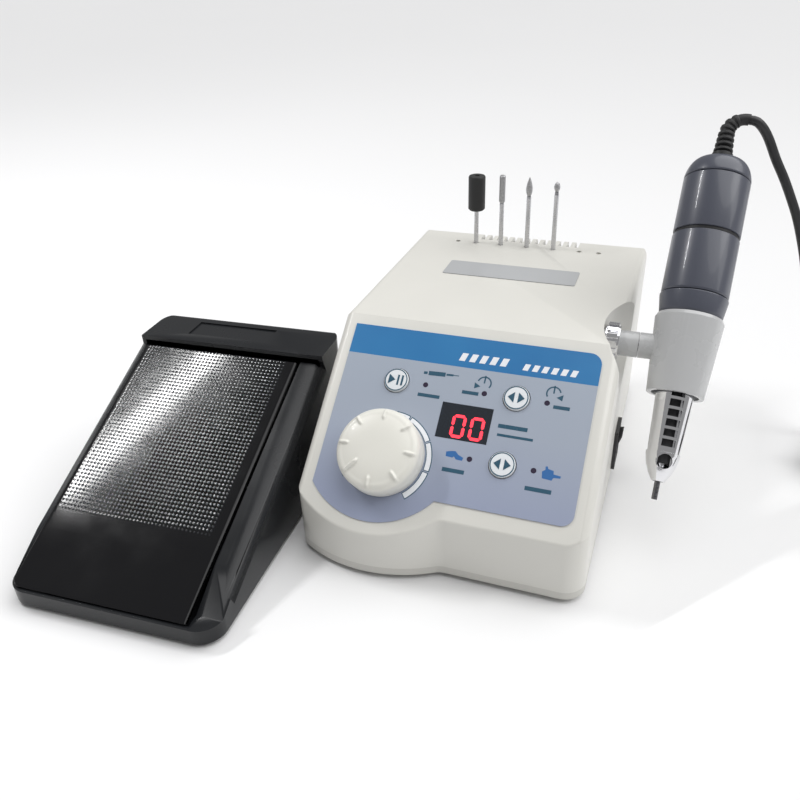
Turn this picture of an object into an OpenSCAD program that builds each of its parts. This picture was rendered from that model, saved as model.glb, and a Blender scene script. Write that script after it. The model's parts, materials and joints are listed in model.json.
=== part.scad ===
// Electric nail drill: control unit with bit rack, handpiece in its tilting cradle,
// handpiece cord with plug, and foot pedal.
// Axes: x to the right of the unit, y to its back, z up. The origin is on the table,
// in the middle of the footprint of the whole set, its cord left out.

/* [Control unit] */
// Width of the control unit
unit_w = 122; // [110:1:150]
// Depth of the flat deck, from the crease to the back wall
deck_d = 116; // [105:1:150]
// Depth of the sloping panel as seen from above
panel_d = 65; // [62:1:78]
// Height of the deck above the table
deck_h = 83.5; // [76:0.5:102]
// Slope of the control panel, degrees
panel_slope = 39.4; // [35:0.1:41]
// Wall thickness of the case
wall = 2.5; // [2:0.1:3]
// Radius of the rounded upper edges
edge_r = 4; // [2:0.5:5]
// Height of the rubber feet under the unit
foot_h = 2.5; // [1.5:0.5:4]
// Thickness of the bottom plate
base_t = 3.5; // [3:0.5:5]
// How far the round front corner stands out past the panel's front
bulge_out = 9; // [6:0.5:11]
// Radius of the hollow for the cradle in the right-hand edge
scoop_r = 44; // [36:1:48]

/* [Panel] */
// Margin between the case edge and the panel film
film_margin = 7; // [5:0.5:9]
// Thickness of the panel film
film_t = 0.5; // [0.3:0.1:0.8]
// Diameter of the speed knob
knob_d = 35; // [28:0.5:38]
// Height of the speed knob
knob_h = 13; // [11:0.5:16]
// Diameter of the push button caps
button_d = 10.6; // [8:0.1:12]
// Travel of the push buttons
button_travel = 0.6; // [0.3:0.1:1]
// Width of the display window
display_w = 21.6; // [18:0.1:24]
// Length of the display window down the panel
display_l = 15.2; // [12:0.1:18]
// Diameter of the indicator lamps
lamp_d = 2.2; // [1.8:0.1:4]

/* [Bit rack] */
// Diameter of the bit shanks and of the chuck bore
shank_d = 2.35; // [2.35:0.01:3.2]
// Depth of the rack holes
rack_depth = 9.5; // [7:0.5:11]
// Height of the stored bits above the deck
bit_stand = 36; // [30:1:42]

/* [Handpiece] */
// Diameter of the motor sleeve
sleeve_d = 27.5; // [26:0.5:31]
// Length of the handpiece from nose tip to rear cap
hand_l = 141; // [136:1:160]
// Diameter of the neck where it leaves the front cone
neck_d = 16.3; // [14:0.1:17]
// Tilt of the handpiece back from upright, degrees
hand_tilt = 40; // [20:1:60]
// Sideways lean of the handpiece, degrees
hand_lean = 2.2; // [0:0.1:3]

/* [Cradle] */
// Length of the cradle tube
cradle_l = 33.6; // [28:0.1:38]
// Outer diameter of the cradle tube at its top
cradle_d = 28.4; // [27:0.1:32]
// Outer diameter of the cradle tube at its bottom
cradle_low_d = 23.4; // [22:0.1:27]
// Wall of the cradle tube
cradle_wall = 2; // [1.6:0.1:2.4]
// Distance from the case side to the cradle's axis
cradle_reach = 23.3; // [21:0.1:30]
// Diameter of the cradle's arm
arm_d = 11; // [9:0.5:13]

/* [Pedal] */
// Width of the foot pedal
pedal_w = 96; // [88:1:115]
// Length of the foot pedal
pedal_l = 148; // [130:1:170]
// Height of the foot pedal at its back
pedal_h = 63.5; // [56:0.5:72]
// Width of the treadle
treadle_w = 84; // [76:1:85]
// Travel of the treadle, degrees
treadle_travel = 6; // [3:0.5:7]
// Turn of the pedal on the table, degrees
pedal_turn = 2.7; // [0:0.1:10]

/* [Cord] */
// Diameter of the handpiece cord
cord_d = 4; // [4:0.1:4.2]
// Diameter of the plug's body
plug_d = 10; // [9:0.5:10]

/* [Clearances] */
// Gap all round a piece that moves
run_gap = 0.3; // [0.2:0.05:0.5]
// Gap all round a shaft in its bearing
bearing_gap = 0.06; // [0.04:0.01:0.1]

/* [Hidden] */
$fn = 64;

hw = unit_w / 2;
set_shift = [33.1, 33.2];
crease_y = (panel_d - deck_d) / 2;
split_z = foot_h + base_t;
eps = 0.01;
over = 1;
tan_s = tan(panel_slope);

// Front corner of the plan: one long arc that a small arc joins to the left side
bulge_r = 57;
corner_r = 10;
back_r = 7;
front_r = 9;
bulge_c = [-hw + 33, -panel_d - bulge_out + bulge_r];
corner_c = [-hw + corner_r,
  bulge_c[1] - sqrt(pow(bulge_r - corner_r, 2) - pow(bulge_c[0] + hw - corner_r, 2))];
blend_r = 8;
arc_lap = 0.03;
blend_c = [bulge_c[0] + sqrt(pow(bulge_r + blend_r, 2) - pow(panel_d + blend_r + bulge_c[1], 2)),
  -panel_d - blend_r];

// Places on the panel, as [x, distance down the slope from the crease]
knob_at = [-hw + 35, 62.5];
play_at = [-29, 29];
turn_at = [23, 29];
source_at = [23, 57.5];
display_at = [4, 42.8];
lamps_at = [[-16, 29], [9.5, 29], [35.5, 29], [9.5, 57.5], [35.5, 57.5]];
buttons_at = [play_at, turn_at, source_at];
film_top = 5;
film_end = 77;
film_r = 34;
film_c = [-hw + 33, 56.5];
film_corner = 5;

// Heights above the panel face, along its normal
board_t = 1.6;
board_h = -8;
button_gap = 0.4;
button_proud = 1;
button_flange = 0.8;
pot_d = 16.5;
bush_d = 7;
shaft_d = 6;
knob_gap = 0.7;

// Bit rack
rack_y = deck_d - 16;
rack_x = [-37.5, -27.5, -14, 0, 14, 27.5, 37.5];
rack_hole_d = shank_d + 0.25;
rack_bar = [84, 9];
rack_point = 0.7;
vent_n = 13;
vent_pitch = 4.2;
vent_w = 2;
vent_z = deck_h - 26;

// Cradle pivot, measured from the crease
pivot_y = 20.5;
pivot_drop = 9;
pivot_z = deck_h - pivot_drop;
scoop_c = [hw + scoop_r - 10, pivot_y - 0.5, deck_h];
hub_d = 17;
hub_teeth = 16;
hub_low = hw - 9;
pivot_x = hw + 5;
hub_end = hw - 3;
screw_d = 4;
pivot_at = [hw + cradle_reach, crease_y + pivot_y, pivot_z];

// Handpiece stations along its own axis, from the pivot
seat_z = 14;
cone_low = -14;
nose_tip = -56.3;
nose_top = nose_tip + 12;
lock_top = seat_z + 9;
cap_top = nose_tip + hand_l;
cap_h = 9.7;
sleeve_top = cap_top - cap_h;
seam_z = (lock_top + sleeve_top) / 2 + 0.2;
seam_t = 1.4;
lock_d = sleeve_d + 0.7;
pin_out = 7.6;
pin_l = 34;
tube_id = 9.2;
bore_gap = 0.35;
cradle_low = seat_z - cradle_l;
taper = (cradle_d - cradle_low_d) / cradle_l;
relief_d = 8.8;
relief_end_d = 5.8;
relief_core_d = 5.2;
relief_straight = 13;
relief_r = 7;
relief_bend = 100;
window_turn = 10.5;

// Pedal
ped_x = -hw - 100;
ped_y = -134 + crease_y;
ped_foot = 2;
ped_floor = ped_foot + 3;
ped_wall = 2;
base_r = 10;
lip_z = 9;
lip_y = 8;
heel_y = 26;
heel_z = 20.5;
wall_drop = 1.5;
bridge_y = pedal_l - 27;
treadle_gap = 0.6;
treadle_end = bridge_y - 1.5;
treadle_end_z = pedal_h - ped_wall - 1;
treadle_slope = atan((treadle_end_z - heel_z) / (treadle_end - heel_y));
treadle_t = 2.5;
treadle_pivot = [16, 8.9];
well_end = treadle_w + treadle_gap;
lug_w = 5;
lugs_x = [treadle_w * 0.22, treadle_w * 0.78];
ear_d = 7;
pin_d = 3.5;
spring_d = 12;
springs_at = [[24, 92], [60, 92]];
gland_at = [70, 14];
gland_d = 8;

// Underside of the treadle's plate at y, with the treadle pressed down by turn
under_h = (heel_z - treadle_pivot[1]) * cos(treadle_slope) - treadle_t
  - (heel_y - treadle_pivot[0]) * sin(treadle_slope);
function under_treadle(y, turn = 0) = treadle_pivot[1]
  + (y - treadle_pivot[0]) * tan(treadle_slope - turn) + under_h / cos(treadle_slope - turn);
stops_at = [[16, 104], [68, 104]];
stop_d = 6;

// Cord route: the lead from the strain relief to the coil, and the tail from the coil to the plug
coil_c = [181, 37.5];
coil_z = 0.8;
coil_turn_r = 27;
coil_inner_r = 19;
hand_axis = [sin(hand_lean), sin(hand_tilt) * cos(hand_lean), cos(hand_tilt) * cos(hand_lean)];
hand_side = [cos(hand_lean), -sin(hand_lean) * sin(hand_tilt), -sin(hand_lean) * cos(hand_tilt)];
relief_end = pivot_at + hand_axis * (cap_top + relief_straight + relief_r * sin(relief_bend))
  + hand_side * relief_r * (1 - cos(relief_bend));
relief_dir = hand_side * sin(relief_bend) + hand_axis * cos(relief_bend);
lead_points = [relief_end + relief_dir * 0.1, relief_end + relief_dir * 3, relief_end + [6.2, 0.9, -3.6],
  relief_end + [9.4, 2, -8.4],
  [110.4, 64.5, 137.5], [115.2, 64.5, 129.5], [119.5, 64.5, 121.5], [123.7, 64.5, 113], [127.3, 64.5, 104],
  [130.8, 64.5, 94], [133.7, 64.5, 84], [136.2, 64.5, 74], [138.5, 64.5, 64], [141, 64.5, 54],
  [143.5, 64.5, 44], [146, 64.5, 34.5], [149, 64.5, 25], [153, 64.5, 16.5], [158.5, 64.5, 9],
  [165.5, 64.5, 4.5], [173, 64.5, 3], [181, 64.5, 2.8]];
tail_points = [[204, 37.5, 10.8], [204.5, 28, 10.8], [205, 18, 10.2], [205, 9, 8.2], [205, 1, 6],
  [205, -7, 5.1], [205, -14, 5]];
plug_relief_l = 12;
plug_body_l = 24;
plug_tip_l = 14;
plug_tip_d = 3.5;

// ---------------------------------------------------------------- placing

module on_set() translate([set_shift[0], set_shift[1], 0]) children();

module on_crease() on_set() translate([0, crease_y, 0]) children();

module on_panel(at, h = 0)
  on_crease() translate([0, 0, deck_h]) rotate([panel_slope, 0, 0])
    translate([at[0], -at[1], h]) children();

module on_pivot() on_set() translate(pivot_at) children();

module on_hand()
  on_pivot() rotate([-hand_tilt, 0, 0]) rotate([0, hand_lean, 0]) children();

module on_pedal()
  on_set() translate([ped_x, ped_y, 0]) rotate([0, 0, pedal_turn]) children();

// ---------------------------------------------------------------- shared shapes

module rounded_square(size, r)
  difference() {
    translate([-size[0] / 2, -size[1] / 2]) square(size);
    for (sx = [-1, 1], sy = [-1, 1])
      translate([sx * size[0] / 2, sy * size[1] / 2])
        difference() {
          translate([sx > 0 ? -r : -over, sy > 0 ? -r : -over]) square([r + over, r + over]);
          translate([-sx * r, -sy * r]) circle(r = r);
        }
  }

module rounded_block(size, r)
  linear_extrude(size[2]) rounded_square([size[0], size[1]], r);

module tube(d, bore, h)
  difference() {
    cylinder(d = d, h = h);
    translate([0, 0, -over]) cylinder(d = bore, h = h + 2 * over);
  }

// Removes what stands outside a rounded edge along y, with its sharp corner at the origin
module edge_cutter(r, len)
  difference() {
    translate([-r, -len / 2, -r]) cube([r + over, len, r + over]);
    translate([-r, 0, -r]) rotate([90, 0, 0]) cylinder(r = r, h = len + 2 * over, center = true);
  }

// ---------------------------------------------------------------- control unit case

// Corner of a plan outline: the part of a square outside an arc
module plan_corner(at, r, sx, sy)
  translate(at) difference() {
    translate([sx > 0 ? -r : -over, sy > 0 ? -r : -over]) square([r + over, r + over]);
    translate([-sx * r, -sy * r]) circle(r = r);
  }

// Outline of the case from above, drawn in by g
module case_plan(g = 0) {
  far = panel_d + 40;
  arm = corner_r + 3;
  dir = (corner_c - bulge_c) / norm(corner_c - bulge_c);
  difference() {
    union() {
      translate([-hw + g, -panel_d + g]) square([unit_w - 2 * g, panel_d + deck_d - 2 * g]);
      intersection() {
        translate(bulge_c) circle(r = bulge_r - g, $fn = 128);
        translate([-hw + g, -far]) square([hw - g + blend_c[0], far - 30]);
      }
      if (g == 0)
        polygon([blend_c, [blend_c[0], -panel_d + 3], [bulge_c[0] + 20, -panel_d + 3],
          bulge_c + (blend_c - bulge_c) * (bulge_r - 2) / (bulge_r + blend_r)]);
    }
    if (g == 0) translate(blend_c) circle(r = blend_r + arc_lap);
    plan_corner([-hw + g, deck_d - g], back_r - g, -1, 1);
    plan_corner([hw - g, deck_d - g], back_r - g, 1, 1);
    plan_corner([hw - g, -panel_d + g], front_r - g, 1, -1);
    difference() {
      polygon([corner_c, corner_c + [-arm, 0], corner_c + [-arm, -arm - 4],
        corner_c + dir * (arm + 4), corner_c + dir * 2]);
      translate(corner_c) circle(r = corner_r - g + arc_lap);
    }
  }
}

// Side view of the case, under the deck and the sloping panel, drawn in by g
module case_side(g = 0, low = 0) {
  reach = panel_d + 40;
  bend = g * (1 / cos(panel_slope) - 1) / tan_s;
  translate([-hw - 5, 0, 0]) rotate([90, 0, 90]) linear_extrude(unit_w + 10)
    polygon([[bend, deck_h - g], [-reach, deck_h - g - (reach + bend) * tan_s],
      [-reach, low - 90], [deck_d + 20, low - 90], [deck_d + 20, deck_h - g]]);
}

module case_solid(g, low)
  intersection() {
    translate([0, 0, low]) linear_extrude(deck_h) case_plan(g);
    case_side(g);
  }

module case_edges() {
  for (s = [0, 1]) mirror([s, 0, 0]) {
    translate([hw, deck_d / 2, deck_h]) edge_cutter(edge_r, deck_d + 12);
    translate([0, 0, deck_h]) rotate([panel_slope, 0, 0]) translate([hw, -60, 0])
      edge_cutter(edge_r, 132);
  }
  translate([0, deck_d, deck_h]) rotate([0, 0, 90]) edge_cutter(edge_r, unit_w + 10);
}

module scoop(g = 0) translate(scoop_c) sphere(r = scoop_r + g, $fn = 96);

case_bosses = [[-hw + wall + 3.4, deck_d - wall - 5], [hw - wall - 3.4, deck_d - wall - 5],
  [-hw + wall + 3.4, -38], [hw - wall - 3.4, -44]];
boss_d = 8;
boss_top = 30;

// Round seat of the cradle's hub in the case side, from x to the side
module hub_seat(x, d)
  translate([x, pivot_y, pivot_z]) rotate([0, 90, 0]) cylinder(d = d, h = hw - x);

module case_inside()
  difference() {
    case_solid(wall, split_z - 5);
    scoop(wall);
    translate([-rack_bar[0] / 2, rack_y - rack_bar[1] / 2, deck_h - rack_depth - wall])
      cube([rack_bar[0], rack_bar[1], 40]);
    for (p = case_bosses) translate([p[0], p[1], split_z]) cylinder(d = boss_d, h = boss_top - split_z);
    hub_seat(hub_low - wall, hub_d + 2 * wall);
  }

sockets_z = 30;
hand_socket_x = 40;
foot_socket_x = 18;
inlet_x = -30;
socket_d = 8;
inlet_size = [24, 12];
switch_at = [28, 17.5];
switch_cut = [13, 19.4];

module panel_holes() {
  translate([display_at[0], -display_at[1], -wall - over])
    linear_extrude(wall + 2 * over) square([display_w + 0.2, display_l + 0.2], center = true);
  for (p = buttons_at) translate([p[0], -p[1], -wall - over])
    cylinder(d = button_d + 2 * button_gap, h = wall + 2 * over);
  for (p = lamps_at) translate([p[0], -p[1], -wall - over]) cylinder(d = lamp_d + 0.1, h = wall + 2 * over);
  translate([knob_at[0], -knob_at[1], -wall - over]) cylinder(d = bush_d + 0.2, h = wall + 2 * over);
}

module upper_case() color("ivory") on_crease()
  difference() {
    case_solid(0, split_z);
    case_edges();
    scoop();
    case_inside();
    translate([0, 0, deck_h]) rotate([panel_slope, 0, 0]) panel_holes();
    for (x = rack_x) translate([x, rack_y, deck_h - rack_depth]) {
      cylinder(d = rack_hole_d, h = rack_depth + over);
      translate([0, 0, -rack_point]) cylinder(d1 = 0.5, d2 = rack_hole_d - 0.3, h = rack_point + eps);
    }
    for (i = [0 : vent_n - 1])
      translate([(i - (vent_n - 1) / 2) * vent_pitch - vent_w / 2, rack_y + rack_bar[1] / 2 + over, vent_z])
        cube([vent_w, 40, 40]);
    for (x = [hand_socket_x, foot_socket_x]) translate([x, deck_d + over, sockets_z])
      rotate([90, 0, 0]) cylinder(d = socket_d + 0.2, h = wall + 2 * over);
    translate([inlet_x, deck_d - wall / 2, sockets_z])
      cube([inlet_size[0] + 0.2, wall + 2 * over, inlet_size[1] + 0.2], center = true);
    translate([hw - wall / 2, switch_at[0], switch_at[1]])
      cube([wall + 2 * over, switch_cut[0] + 0.2, switch_cut[1] + 0.2], center = true);
    translate([hw - 20, pivot_y, pivot_z]) rotate([0, 90, 0]) cylinder(d = arm_d + 0.1, h = 20);
    hub_seat(hub_low, hub_d + 0.3);
    for (p = case_bosses) translate([p[0], p[1], split_z - over]) cylinder(d = 2.5, h = 12);
  }

lip_h = 4;
lip_t = 1.6;
lip_gap = 0.15;
post_d = 7;
main_posts = [[8, 4], [35, 4], [8, 92], [35, 92]];
coil_posts = [[-50, 46], [-50, 92], [-4, 46], [-4, 92]];
post_h = 6;

module lower_case() color("ivory") on_crease()
  difference() {
    union() {
      translate([0, 0, foot_h]) linear_extrude(base_t) case_plan(0);
      translate([0, 0, split_z - eps]) linear_extrude(lip_h)
        difference() {
          case_plan(wall + lip_gap);
          case_plan(wall + lip_gap + lip_t);
        }
      for (p = main_posts) translate([p[0], p[1], split_z - eps]) cylinder(d = post_d, h = post_h);
      for (p = coil_posts) translate([p[0], p[1], split_z - eps]) cylinder(d = post_d, h = post_h);
    }
    for (p = case_bosses) translate([p[0], p[1], split_z]) cylinder(d = boss_d + 0.6, h = lip_h + over);
    for (p = case_bosses) translate([p[0], p[1], 0]) cylinder(d = 3.2, h = split_z + over);
    for (p = case_bosses) translate([p[0], p[1], foot_h - over]) cylinder(d = 6, h = over + 1.8);
    translate([hw - wall - 3, switch_at[0] - 9, split_z]) cube([6, 18, lip_h + over]);
  }

feet_at = [[-hw + 17, deck_d - 14], [hw - 17, deck_d - 14], [-hw + 17, -panel_d + 12],
  [hw - 17, -panel_d + 12]];
foot_d = 13;

module rubber_feet() color("dimgray") on_crease()
  for (p = feet_at) translate([p[0], p[1], 0]) cylinder(d = foot_d, h = foot_h);

module case_screws() color("silver") on_crease()
  for (p = case_bosses) translate([p[0], p[1], foot_h + 0.1]) {
    difference() {
      cylinder(d = 5.6, h = 1.7);
      for (a = [0, 90]) rotate([0, 0, a]) translate([-1.5, -0.35, -over]) cube([3, 0.7, over + 0.8]);
    }
    cylinder(d = 2.5, h = 12);
  }

// ---------------------------------------------------------------- panel

module film_plan()
  difference() {
    union() {
      translate([-hw + film_margin, -film_end]) square([unit_w - 2 * film_margin, film_end - film_top]);
      intersection() {
        translate([film_c[0], -film_c[1]]) circle(r = film_r, $fn = 96);
        translate([-hw + film_margin, -film_c[1] - film_r - 1]) square([2 * film_r, film_r]);
      }
    }
    plan_corner([hw - film_margin, -film_top], film_corner, 1, 1);
    plan_corner([hw - film_margin, -film_end], film_corner, 1, -1);
    translate([display_at[0], -display_at[1]]) square([display_w + 0.2, display_l + 0.2], center = true);
    for (p = buttons_at) translate([p[0], -p[1]]) circle(d = button_d + 2 * button_gap);
    for (p = lamps_at) translate([p[0], -p[1]]) circle(d = lamp_d + 0.1);
    translate([knob_at[0], -knob_at[1]]) circle(d = 12);
  }

module panel_film() color("cornflowerblue") on_panel([0, 0]) linear_extrude(film_t) film_plan();

module nameplate() color("silver") on_crease()
  translate([0, deck_d - 53, deck_h]) rounded_block([65, 17, 0.4], 1);

module display_window() color("black") on_panel(display_at, -wall)
  linear_extrude(wall + film_t) square([display_w, display_l], center = true);

module display_module() color("dimgray") on_panel(display_at, board_h + board_t)
  translate([-display_w / 2, -display_l / 2, 0]) cube([display_w, display_l, -wall - 0.4 - board_h - board_t]);

digit_h = 9;
digit_w = 4.8;
bar_w = 1.1;
digits_at = [1.6, -1.8];

// One straight bar of a seven-bar digit
module digit_bar(len)
  linear_extrude(0.3)
    polygon([[-len / 2, 0], [-len / 2 + bar_w / 2, bar_w / 2], [len / 2 - bar_w / 2, bar_w / 2], [len / 2, 0],
      [len / 2 - bar_w / 2, -bar_w / 2], [-len / 2 + bar_w / 2, -bar_w / 2]]);

module digit_zero() {
  for (s = [-1, 1]) translate([0, s * digit_h / 2, 0]) digit_bar(digit_w - 0.4);
  for (sx = [-1, 1], sy = [-1, 1])
    translate([sx * digit_w / 2, sy * digit_h / 4, 0]) rotate([0, 0, 90]) digit_bar(digit_h / 2 - 0.4);
}

module display_digits() color("red") on_panel(display_at, -wall - 0.4)
  for (s = [-1, 1]) translate([digits_at[0] + s * 3.8, digits_at[1], 0]) digit_zero();

module indicator_lamps() color("white") on_panel([0, 0])
  for (p = lamps_at) translate([p[0], -p[1], board_h + board_t]) {
    cylinder(d = lamp_d, h = -board_h - board_t + film_t);
    cylinder(d = lamp_d + 1, h = 1.2);
  }

tact_h = 1.8;

module panel_board() color("seagreen") on_panel([0, 0], board_h) {
  difference() {
    translate([-44, -68, 0]) cube([88, 50, board_t]);
    translate([knob_at[0], -knob_at[1], -over]) cylinder(d = pot_d + 3, h = board_t + 2 * over);
  }
  for (p = buttons_at) translate([p[0], -p[1], board_t]) {
    translate([-3, -3, 0]) cube([6, 6, tact_h - 0.5]);
    cylinder(d = 3, h = tact_h);
  }
}

module speed_pot() color("silver") on_panel(knob_at)
  difference() {
    union() {
      translate([0, 0, -12.5]) cylinder(d = pot_d, h = 9);
      translate([0, 0, -3.5 - eps]) cylinder(d = 10, h = 3.5 - wall + eps);
      translate([0, 0, -3.5]) cylinder(d = bush_d, h = 8.5);
      cylinder(d = 11.5, h = 2.5, $fn = 6);
    }
    translate([0, 0, -10]) cylinder(d = shaft_d + 2 * bearing_gap, h = 20);
  }

knob_low = film_t + knob_gap;

module speed_knob() color("ivory") on_panel(knob_at, knob_low)
  difference() {
    union() {
      cylinder(d = knob_d, h = knob_h - 4);
      translate([0, 0, knob_h - 4]) cylinder(d1 = knob_d, d2 = knob_d - 2.6, h = 1.8);
      translate([0, 0, knob_h - 2.2]) cylinder(d1 = knob_d - 2.6, d2 = knob_d - 11, h = 1.6);
      translate([0, 0, knob_h - 0.6]) cylinder(d1 = knob_d - 11, d2 = knob_d - 22, h = 0.6);
      for (i = [0 : 7]) rotate([0, 0, i * 45]) translate([knob_d / 2 - 4.6, -0.5, knob_h - 3.4])
        cube([3.8, 1, 2.2]);
    }
    translate([0, 0, -over]) difference() {
      cylinder(d = knob_d - 6, h = knob_h - 4);
      translate([0, 0, 5]) cylinder(d = 11, h = knob_h);
    }
    translate([0, 0, -over]) cylinder(d = shaft_d, h = knob_h - 2.5);
  }

module knob_shaft() color("silver") on_panel(knob_at, -9.5)
  cylinder(d = shaft_d, h = 9.5 + knob_low + knob_h - 3.6);

// A push button: cap, retaining flange under the wall, and stem to its switch
module button_cap() {
  cylinder(d = button_d, h = film_t + button_proud + wall);
  translate([0, 0, -0.1 - button_flange]) cylinder(d = button_d + 2.4, h = button_flange);
  translate([0, 0, -0.1 - eps]) cylinder(d = button_d, h = 0.1 + 2 * eps);
  tip = board_h + board_t + tact_h + button_travel + 0.1 + wall;
  translate([0, 0, tip]) cylinder(d = 3, h = -tip - button_flange);
}

module button_play() color("white") on_panel(play_at, -wall) button_cap();
module button_turn() color("white") on_panel(turn_at, -wall) button_cap();
module button_source() color("white") on_panel(source_at, -wall) button_cap();

// ---------------------------------------------------------------- switch, inlet and electrics

rocker_pivot = -2;

module switch_frame() color("black") on_crease()
  translate([hw, switch_at[0], switch_at[1]]) rotate([90, 0, 90])
    difference() {
      union() {
        rounded_block([15, 21, 1.6], 1);
        translate([-switch_cut[0] / 2, -switch_cut[1] / 2, -13]) cube([switch_cut[0], switch_cut[1], 13 + eps]);
        for (y = [-5, 5]) translate([-2.4, y - 0.4, -20]) cube([4.8, 0.8, 8]);
      }
      translate([-4.9, -9, -9]) cube([9.8, 18, 12]);
      translate([-switch_cut[0] / 2 - over, 0, rocker_pivot]) rotate([0, 90, 0])
        cylinder(d = 2.1, h = switch_cut[0] + 2 * over);
    }

module switch_rocker() color("black") on_crease()
  translate([hw, switch_at[0], switch_at[1]]) {
    translate([0, 4.6, 0]) rotate([90, 0, 0]) linear_extrude(9.2)
      polygon([[-6, -5], [0.5, -7.6], [1.1, 0], [3.3, 7.1], [-6, 5]]);
    translate([rocker_pivot, switch_cut[0] / 2 - 0.2, 0]) rotate([90, 0, 0])
      cylinder(d = 2, h = switch_cut[0] - 0.4);
  }

module mains_inlet() color("black") on_crease()
  translate([inlet_x, deck_d + 1.2, sockets_z]) rotate([90, 0, 0])
    difference() {
      union() {
        translate([0, 0, 0]) rounded_block([inlet_size[0] + 5, inlet_size[1] + 5, 1.2], 2);
        translate([0, 0, 0.6]) rounded_block([inlet_size[0], inlet_size[1], 17], 2);
      }
      for (s = [-1, 1]) translate([s * 4.2, 0, -over]) cylinder(d = 8.4, h = 13);
      translate([-4.2, -2.2, -over]) cube([8.4, 4.4, 13]);
    }

coil_core = [46, 20, 40];

module transformer() color("darkgoldenrod") on_crease()
  translate([-27, 69, split_z + post_h]) {
    translate([-27, -27, 0]) cube([54, 54, 1.5]);
    translate([-coil_core[0] / 2, -coil_core[1] / 2, 1.5 - eps]) cube(coil_core);
    translate([-15, -coil_core[1] / 2 - 6, 8]) cube([30, coil_core[1] + 12, 27]);
  }

module main_board() color("seagreen") on_crease() {
  translate([2, -2, split_z + post_h]) cube([38, 100, 1.6]);
  translate([0, 0, split_z + post_h + 1.6 - eps]) {
    translate([15, 82, 0]) cylinder(d = 16, h = 24);
    translate([32, 84, 0]) cylinder(d = 10, h = 14);
    translate([6, 54, 0]) cube([14, 10, 12]);
    translate([26, 6, 0]) cube([12, 16, 5]);
    translate([8, 12, 0]) cube([10, 10, 8]);
  }
}

module heat_sink() color("silver") on_crease()
  translate([14, 34, split_z + post_h + 1.6]) {
    cube([24, 3, 26]);
    for (i = [0 : 5]) translate([i * 4.4, 3 - eps, 0]) cube([2, 10, 26]);
  }

// A round jack socket with its collar outside the wall
module jack_socket()
  rotate([90, 0, 0]) difference() {
    union() {
      translate([0, 0, -2]) cylinder(d = 12, h = 2);
      translate([0, 0, -eps]) cylinder(d = socket_d, h = 5);
      translate([-6, -5, 5 - eps]) cube([12, 10, 14]);
    }
    translate([0, 0, -2 - over]) cylinder(d = plug_tip_d + 0.2, h = 17);
  }

module hand_socket() color("gray") on_crease() translate([hand_socket_x, deck_d, sockets_z]) jack_socket();
module foot_socket() color("gray") on_crease() translate([foot_socket_x, deck_d, sockets_z]) jack_socket();

// ---------------------------------------------------------------- bits in the rack

shank_foot = 0.3;

// A round bit standing in rack hole i: shank, then a turned head given as [radius, height] points
module rack_bit(i, head) on_crease()
  translate([rack_x[i], rack_y, deck_h - rack_depth + shank_foot]) {
    cylinder(d = shank_d, h = rack_depth - shank_foot + head[0][1] + eps);
    translate([0, 0, rack_depth - shank_foot]) rotate_extrude() polygon(concat([[0, head[0][1]]], head));
  }

module bit_mandrel() color("black")
  rack_bit(1, [[3, bit_stand - 18], [4.4, bit_stand - 16.5], [4.4, bit_stand - 0.8], [3.8, bit_stand],
    [0, bit_stand]]);

module bit_barrel() color("silver")
  rack_bit(2, [[1.3, bit_stand - 13], [1.55, bit_stand - 12], [1.55, bit_stand + 0.5], [1.2, bit_stand + 1],
    [0, bit_stand + 1]]);

module bit_flame() color("silver")
  rack_bit(3, [[1.0, bit_stand - 9], [1.6, bit_stand - 6.5], [1.35, bit_stand - 3], [0.3, bit_stand + 1],
    [0, bit_stand + 1]]);

module bit_oval() color("silver")
  rack_bit(4, [[0.8, bit_stand - 6], [1.5, bit_stand - 4], [1.5, bit_stand - 2.5], [0.7, bit_stand - 0.6],
    [0, bit_stand - 0.6]]);

// ---------------------------------------------------------------- cradle

module along_x(x) on_crease() translate([x, pivot_y, pivot_z]) rotate([0, 90, 0]) children();

module cradle_hub() color("silver") along_x(hub_low)
  difference() {
    union() {
      cylinder(d = hub_d - 2.4, h = hub_end - hub_low);
      for (i = [0 : hub_teeth / 2 - 1]) rotate([0, 0, i * 360 / hub_teeth])
        translate([-hub_d / 2, -0.9, 0.8]) cube([hub_d, 1.8, hub_end - hub_low - 1.6]);
    }
    translate([0, 0, -over]) cylinder(d = arm_d, h = 20);
  }

module cradle_boss() color("lightgray") along_x(hw - 13)
  difference() {
    cylinder(d = arm_d, h = pivot_x - hw + 13);
    translate([0, 0, -over]) cylinder(d = screw_d, h = 30);
  }

module cradle_screw() color("silver") along_x(hw - 12) {
  cylinder(d = screw_d, h = cradle_reach - 12.4 + 12);
  translate([0, 0, cradle_reach - 0.5]) cylinder(d = 7, h = 1.2);
}

function cradle_bore(z) = cradle_low_d - 2 * cradle_wall + taper * (z - cradle_low);

module cradle() color("lightgray")
  difference() {
    union() {
      on_hand() {
        translate([0, 0, cradle_low])
          cylinder(d1 = cradle_low_d, d2 = cradle_d - taper * 1.5, h = cradle_l - 1.5);
        translate([0, 0, seat_z - 1.5 - eps])
          cylinder(d1 = cradle_d - taper * 1.5, d2 = cradle_d - 1.6, h = 1.5 + eps);
      }
      along_x(pivot_x + 0.2) cylinder(d = arm_d, h = cradle_reach - 10);
    }
    on_hand() translate([0, 0, cradle_low - over])
      cylinder(d1 = cradle_bore(cradle_low - over), d2 = cradle_bore(seat_z + over), h = cradle_l + 2 * over);
    along_x(pivot_x - over) cylinder(d = screw_d + 2 * bearing_gap, h = 30);
    along_x(hw + cradle_reach - 12.8) cylinder(d = 7.4, h = 12);
  }

// ---------------------------------------------------------------- handpiece

function cone_d(z) = cradle_bore(z) - 2 * bore_gap;

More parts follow.
